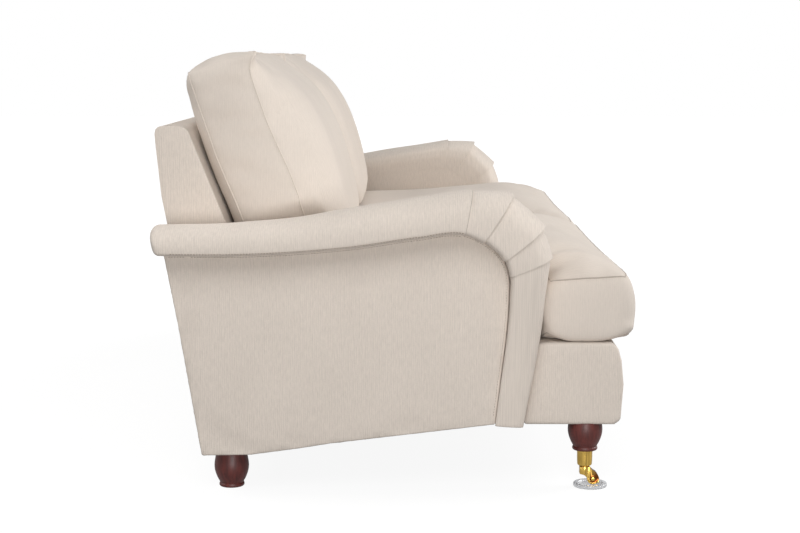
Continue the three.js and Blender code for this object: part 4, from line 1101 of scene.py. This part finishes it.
# rear edge of the back seen from the side, as y and z
rearLine = (
    (0.3928, 0.082), (0.4137, 0.205), (0.437, 0.352), (0.4643, 0.4993), (0.4841, 0.6029), (0.494, 0.7027),
    (0.496, 0.7285),
)


# A copy of a CAD node as one clean skin, its edges eased and its faces divided evenly
def gridCopy(node, name, spacing, ease):
    source = nodes[node]
    piece = source.copy()
    piece.data = source.data.copy()
    piece.name = piece.data.name = name
    piece.parent = None
    for key in list(piece.keys()):
        del piece[key]
    bpy.context.scene.collection.objects.link(piece)
    pickOnly(piece)
    bpy.ops.object.mode_set(mode="EDIT")
    bpy.ops.mesh.select_all(action="SELECT")
    bpy.ops.mesh.remove_doubles(threshold=0.00005)
    bpy.ops.mesh.dissolve_limited(angle_limit=math.radians(1))
    bpy.ops.object.mode_set(mode="OBJECT")
    putPlaces(piece, tuckedUnder(node, places(piece)))
    if ease:
        applyModifier(piece, "BEVEL", width=ease, segments=3, limit_method="ANGLE", angle_limit=math.radians(35))
    low, high = places(piece).min(axis=0), places(piece).max(axis=0)
    pickOnly(piece)
    bpy.ops.object.mode_set(mode="EDIT")
    for axis in range(3):
        size = high[axis] - low[axis]
        count = int(round(size / spacing))
        normal = [0.0, 0.0, 0.0]
        normal[axis] = 1.0
        for k in range(1, count):
            spot = [0.0, 0.0, 0.0]
            spot[axis] = low[axis] + size * k / count
            bpy.ops.mesh.select_all(action="SELECT")
            bpy.ops.mesh.bisect(plane_co=spot, plane_no=normal)
    bpy.ops.object.mode_set(mode="OBJECT")
    return piece


panels = {
    "outer_arm_panel_left": {
        "spacing": 0.014, "ease": 0.004, "cap": 0.0025, "pressure": 0.6, "slot": "linen_panel", "fill": 0.95},
    "inner_arm_panel_left": {
        "spacing": 0.02, "ease": 0.006, "cap": 0.0006, "pressure": 0.2, "slot": "linen", "fill": 0.9},
    "inner_back": {"spacing": 0.024, "ease": 0.008, "cap": 0.004, "pressure": 1, "slot": "linen", "fill": 0.9},
    "outer_back_panel": {
        "spacing": 0.026, "ease": 0.003, "cap": 0.003, "pressure": 0.6, "slot": "linen_panel", "fill": 0.95},
    "front_border": {"spacing": 0.022, "ease": 0.008, "cap": 0.004, "pressure": 1, "slot": "linen", "fill": 0.9},
    "seat_deck": {"spacing": 0.04, "ease": 0.004, "cap": 0.002, "pressure": 0.6, "slot": "linen_panel", "fill": 0.8},
}


for node, plan in panels.items():
    stem = node.replace("_left", "")
    piece = gridCopy(node, f"{stem}_cover" + node[len(stem):], plan["spacing"], plan["ease"])
    # held along its edges, where it is sewn or tacked down
    normals = np.array([vertex.normal[:] for vertex in piece.data.vertices])
    facing = np.abs(normals).max(axis=1) > 0.96
    puff(piece, plan["pressure"], plan["cap"], held=~facing, shrink=-0.01, frames=14)
    weaveMap(piece)
    smooth(piece, 40)
    if node != stem:
        twin = mirrorCopy(piece, f"{stem}_cover_right")
        ready(twin, "frame", plan["slot"], slotMaterials[plan["slot"]], f"{stem}_right", fill=plan["fill"])
    ready(piece, "frame", plan["slot"], slotMaterials[plan["slot"]], node, fill=plan["fill"])
print("panels done")


# Cloth tacked under the frame, which sags a little between the rails

dustCover = {"spacing": 0.03, "sag": 0.006, "flat": (1.976, 0.836), "area": 1.55}


def dustCoverPiece():
    piece = gridCopy("dust_cover", "dust_cover_cloth", dustCover["spacing"], 0)
    spots = places(piece)
    x, y, z = spots.T
    across = np.clip(1 - (np.abs(np.abs(x) - 0.47) / 0.47) ** 2, 0, 1)
    along = np.clip(1 - ((y + 0.03) / 0.33) ** 2, 0, 1)
    spots[:, 2] -= dustCover["sag"] * across * along
    putPlaces(piece, spots)
    smooth(piece, 30)
    ready(piece, "frame", "cambric", cambric, "dust_cover")


dustCoverPiece()
print("dust cover done")


# Turned pieces: a ring drawn along a profile of radii and heights, on a level or an upright axis

def turnedPiece(name, centre, profile, count=64, level=False):
    x, y, base = centre
    bpy.ops.object.select_all(action="DESELECT")
    bpy.ops.mesh.primitive_circle_add(vertices=count, radius=profile[0][0], fill_type="NGON")
    piece = bpy.context.object
    piece.name = piece.data.name = name
    bpy.ops.object.mode_set(mode="EDIT")
    bpy.ops.mesh.select_all(action="SELECT")
    bpy.ops.transform.translate(value=(x, y, base + profile[0][1]))
    for (radius, height), (nextRadius, nextHeight) in zip(profile, profile[1:]):
        bpy.ops.mesh.extrude_region_move(TRANSFORM_OT_translate={"value": (0, 0, nextHeight - height)})
        share = nextRadius / radius
        bpy.ops.transform.resize(value=(share, share, 1), center_override=(x, y, base + nextHeight))
    bpy.ops.mesh.select_all(action="SELECT")
    bpy.ops.mesh.normals_make_consistent(inside=False)
    if level:
        bpy.ops.transform.rotate(value=math.pi / 2, orient_axis="Y", center_override=(x, y, base))
    bpy.ops.object.mode_set(mode="OBJECT")
    return piece


def drawn(rows, count, corners=()):
    return [tuple(row) for row in curveThrough(rows, np.linspace(0, len(rows) - 1, count), corners)]


leg = {
    "x": 0.93,  # of the legs and castors
    # radius and height over the foot, from the bead up the bowl
    "profile": (
        (0.0222, 0), (0.0245, 0.0006), (0.0259, 0.0022), (0.0263, 0.0045), (0.0258, 0.0066), (0.0247, 0.0082),
        (0.0252, 0.0098), (0.0283, 0.0155), (0.0322, 0.0245), (0.0348, 0.033), (0.036, 0.042), (0.0356, 0.051),
        (0.0343, 0.059), (0.0328, 0.067), (0.0318, 0.083),
    ),
    "stands": {"front": (-0.4, 0.078, 0.1397), "rear": (0.338832, 0, 0.0817)},
}


def legPiece(end, side, sign):
    y, foot, top = leg["stands"][end]
    profile = [row for row in drawn(leg["profile"], 70) if row[1] < top - foot - 0.0005]
    profile.append((profile[-1][0], top - foot))
    piece = turnedPiece(f"{end}_leg_turned_{side}", (sign * leg["x"], y, foot), profile)
    smooth(piece, 40)
    return ready(piece, "frame", "mahogany", mahogany, f"{end}_leg_{side}")


castor = {
    "stem": -0.4, "wheelY": -0.4175, "wheelZ": 0.016, "cupY": -0.412,
    # cheeks of the horn: half their width over all, where they end, and the rim and depth of their hollow
    "cheek": 0.0088, "cheekEnd": -0.4085, "cheekTop": 0.037, "rim": 0.002, "slope": 0.0006, "hollow": 0.0015,
    # radius and height of the cup on the leg's foot, as it stands over the floor
    "ferrule": (
        (0.0045, 0.0283), (0.0048, 0.0415), (0.0076, 0.0422), (0.0078, 0.0438), (0.0088, 0.0446), (0.0118, 0.0449),
        (0.0143, 0.0456), (0.0152, 0.0472), (0.0155, 0.05), (0.016, 0.064), (0.0164, 0.074), (0.0168, 0.0757),
        (0.0168, 0.0771), (0.0163, 0.0777),
    ),
    # radius and place along the axle, of one half
    "wheel": (
        (0.0021, 0.0058), (0.005, 0.0058), (0.0056, 0.0054), (0.0062, 0.0049), (0.0098, 0.0048), (0.0106, 0.0053),
        (0.0115, 0.0053), (0.0122, 0.0045), (0.0125, 0.003),
    ),
    "axle": ((0.0006, 0.0099), (0.002, 0.0099), (0.0031, 0.0096), (0.0036, 0.009), (0.0036, 0.0089), (0.002, 0.0088)),
    "cup": (
        (0.0335, 0), (0.0345, 0.0003), (0.035, 0.0013), (0.035, 0.0052), (0.0345, 0.0064), (0.0333, 0.007),
        (0.0275, 0.007), (0.0262, 0.0066), (0.0254, 0.0054), (0.0247, 0.0038), (0.0236, 0.0032), (0.002, 0.0032),
    ),
}


def bothHalves(rows):
    return [(r, -t) for r, t in rows] + [(r, t) for r, t in rows[::-1]]


# The outer faces of the horn's cheeks sink in behind a rim
def hollowCheeks(horn, x):
    pickOnly(horn)
    mesh = horn.data
    bpy.ops.object.mode_set(mode="EDIT")
    bpy.ops.mesh.select_all(action="SELECT")
    bpy.ops.mesh.bisect(plane_co=(x, castor["cheekEnd"], 0), plane_no=(0, 1, 0))
    bpy.ops.mesh.select_all(action="DESELECT")
    bpy.ops.object.mode_set(mode="OBJECT")
    for face in mesh.polygons:
        outer = abs(face.normal.x) > 0.99 and abs(abs(face.center.x - x) - castor["cheek"]) < 0.0002
        face.select = outer and face.center.y < castor["cheekEnd"]
    bpy.ops.object.mode_set(mode="EDIT")
    bpy.ops.mesh.inset(thickness=castor["rim"], depth=0)
    bpy.ops.mesh.inset(thickness=castor["slope"], depth=-castor["hollow"])
    bpy.ops.object.mode_set(mode="OBJECT")


def castorPieces(side, sign):
    x = sign * leg["x"]
    ferrule = turnedPiece(f"castor_ferrule_turned_{side}", (x, castor["stem"], 0), drawn(castor["ferrule"], 40))
    smooth(ferrule, 50)
    ready(ferrule, "frame", "brass", brass, f"castor_ferrule_{side}")
    centre = (x, castor["wheelY"], castor["wheelZ"])
    wheel = turnedPiece(f"castor_wheel_turned_{side}", centre, bothHalves(castor["wheel"]), 48, level=True)
    smooth(wheel, 40)
    ready(wheel, f"castor_wheel_{side}", "brass", brass, f"castor_wheel_{side}")
    axle = turnedPiece(f"castor_axle_turned_{side}", centre, bothHalves(castor["axle"]), 32, level=True)
    smooth(axle, 40)
    ready(axle, f"castor_{side}", "brass", brass, f"castor_axle_{side}")
    cup = turnedPiece(f"castor_cup_turned_{side}", (x, castor["cupY"], 0), castor["cup"], 72)
    smooth(cup, 50)
    ready(cup, f"castor_cup_{side}", "clear_glass", clearGlass, f"castor_cup_{side}")
    horn = gridCopy(f"castor_horn_{side}", f"castor_horn_cast_{side}", 1, 0)
    hollowCheeks(horn, x)
    applyModifier(horn, "BEVEL", width=0.0007, segments=2, limit_method="ANGLE", angle_limit=math.radians(50))
    deep = np.abs(np.abs(places(horn)[:, 0] - x) - (castor["cheek"] - castor["hollow"])) < 0.0004
    paintedShadeAndPatina(horn, deep * (places(horn)[:, 2] < castor["cheekTop"]))
    smooth(horn, 40)
    ready(horn, f"castor_{side}", "brass", brass, f"castor_horn_{side}")


for side, sign in sides.items():
    for end in leg["stands"]:
        legPiece(end, side, sign)
    castorPieces(side, sign)
print("legs and castors done")


# Rows of stitches beside the seam between the roll and the side panel

stitch = {
    "pitch": 0.0058,
    # name, first and last stop of the seam, how far from it towards the crown, thickness
    "rows": (
        ("lip", 0.15, 5, 0.0052, 0.0009), ("panel", 0.05, 5, -0.0086, 0.0005), ("pillar", 5, 11.9, -0.0068, 0.00035),
    ),
    # where each stitch starts and ends along its pitch, and its rings, as place along it and size
    "ends": (0.17, 0.83), "rings": ((0, 0.35), (0.14, 0.85), (0.5, 1), (0.86, 0.85), (1, 0.35)), "lift": 0.0002,
}


def stitchRow(name, route, normals, radius):
    marks = np.concatenate([[0], np.cumsum(np.linalg.norm(np.diff(route, axis=0), axis=1))])
    count = int(marks[-1] / stitch["pitch"])
    vertices, faces = [], []
    for k in range(count):
        stops = [(k + share) * stitch["pitch"] for share in stitch["ends"]]
        ends = [np.array([np.interp(stop, marks, line) for line in route.T]) for stop in stops]
        spot = np.argmin(np.abs(marks - (k + 0.5) * stitch["pitch"]))
        ahead = ends[1] - ends[0]
        up = normals[spot] - ahead * (normals[spot] @ ahead) / (ahead @ ahead)
        up /= np.linalg.norm(up)
        across = np.cross(ahead / np.linalg.norm(ahead), up)
        first = len(vertices)
        for t, size in stitch["rings"]:
            middle = ends[0] + t * ahead + up * radius * (size - 0.75)
            for turn in range(6):
                angle = turn * math.pi / 3
                vertices.append(middle + radius * size * (math.cos(angle) * up + math.sin(angle) * across))
        for ring in range(4):
            for turn in range(6):
                a, b = first + ring * 6 + turn, first + ring * 6 + (turn + 1) % 6
                faces.append((a, b, b + 6, a + 6))
        faces += [tuple(first + 5 - n for n in range(6)), tuple(first + 24 + n for n in range(6))]
    piece = meshPiece(name, vertices, faces)
    turnFacesOut(piece, merge=0)
    smooth(piece)
    return piece


def stitchRows():
    surfaces = []
    for name in ("arm_roll_cover_left", "outer_arm_panel_cover_left"):
        mesh = bpy.data.objects[name].data
        surfaces.append(BVHTree.FromPolygons([v.co[:] for v in mesh.vertices], [f.vertices[:] for f in mesh.polygons]))
    stations = np.array(arm["stations"])
    for name, first, last, away, radius in stitch["rows"]:
        stops = np.linspace(first, last, 400)
        seam = curveThrough(stations[:, :2], stops)
        crown = curveThrough(stations[:, 2:4], stops, corners=tuple(arm["pleats"]))
        toCrown = crown - seam
        toCrown /= np.linalg.norm(toCrown, axis=1, keepdims=True)
        route, normals = [], []
        for y, z in seam + toCrown * away:
            hits = [tree.ray_cast((-1.2, y, z), (1, 0, 0)) for tree in surfaces]
            hits = [hit for hit in hits if hit[0] is not None]
            if hits:
                spot, normal = min(hits, key=lambda hit: hit[3])[:2]
                route.append(np.array(spot) + np.array(normal) * stitch["lift"])
                normals.append(np.array(normal) * (1 if normal.x < 0 else -1))
        piece = stitchRow(f"stitches_{name}_left", np.array(route), np.array(normals), radius)
        # the lip row in thread colour, the panel and pillar rows in painted seam shadow
        thread = stitchThread if name == "lip" else paintedSeamShadow
        twin = mirrorCopy(piece, f"stitches_{name}_right")
        for row in (piece, twin):
            ready(row, "frame", "linen", thread)


stitchRows()
print("stitches done")
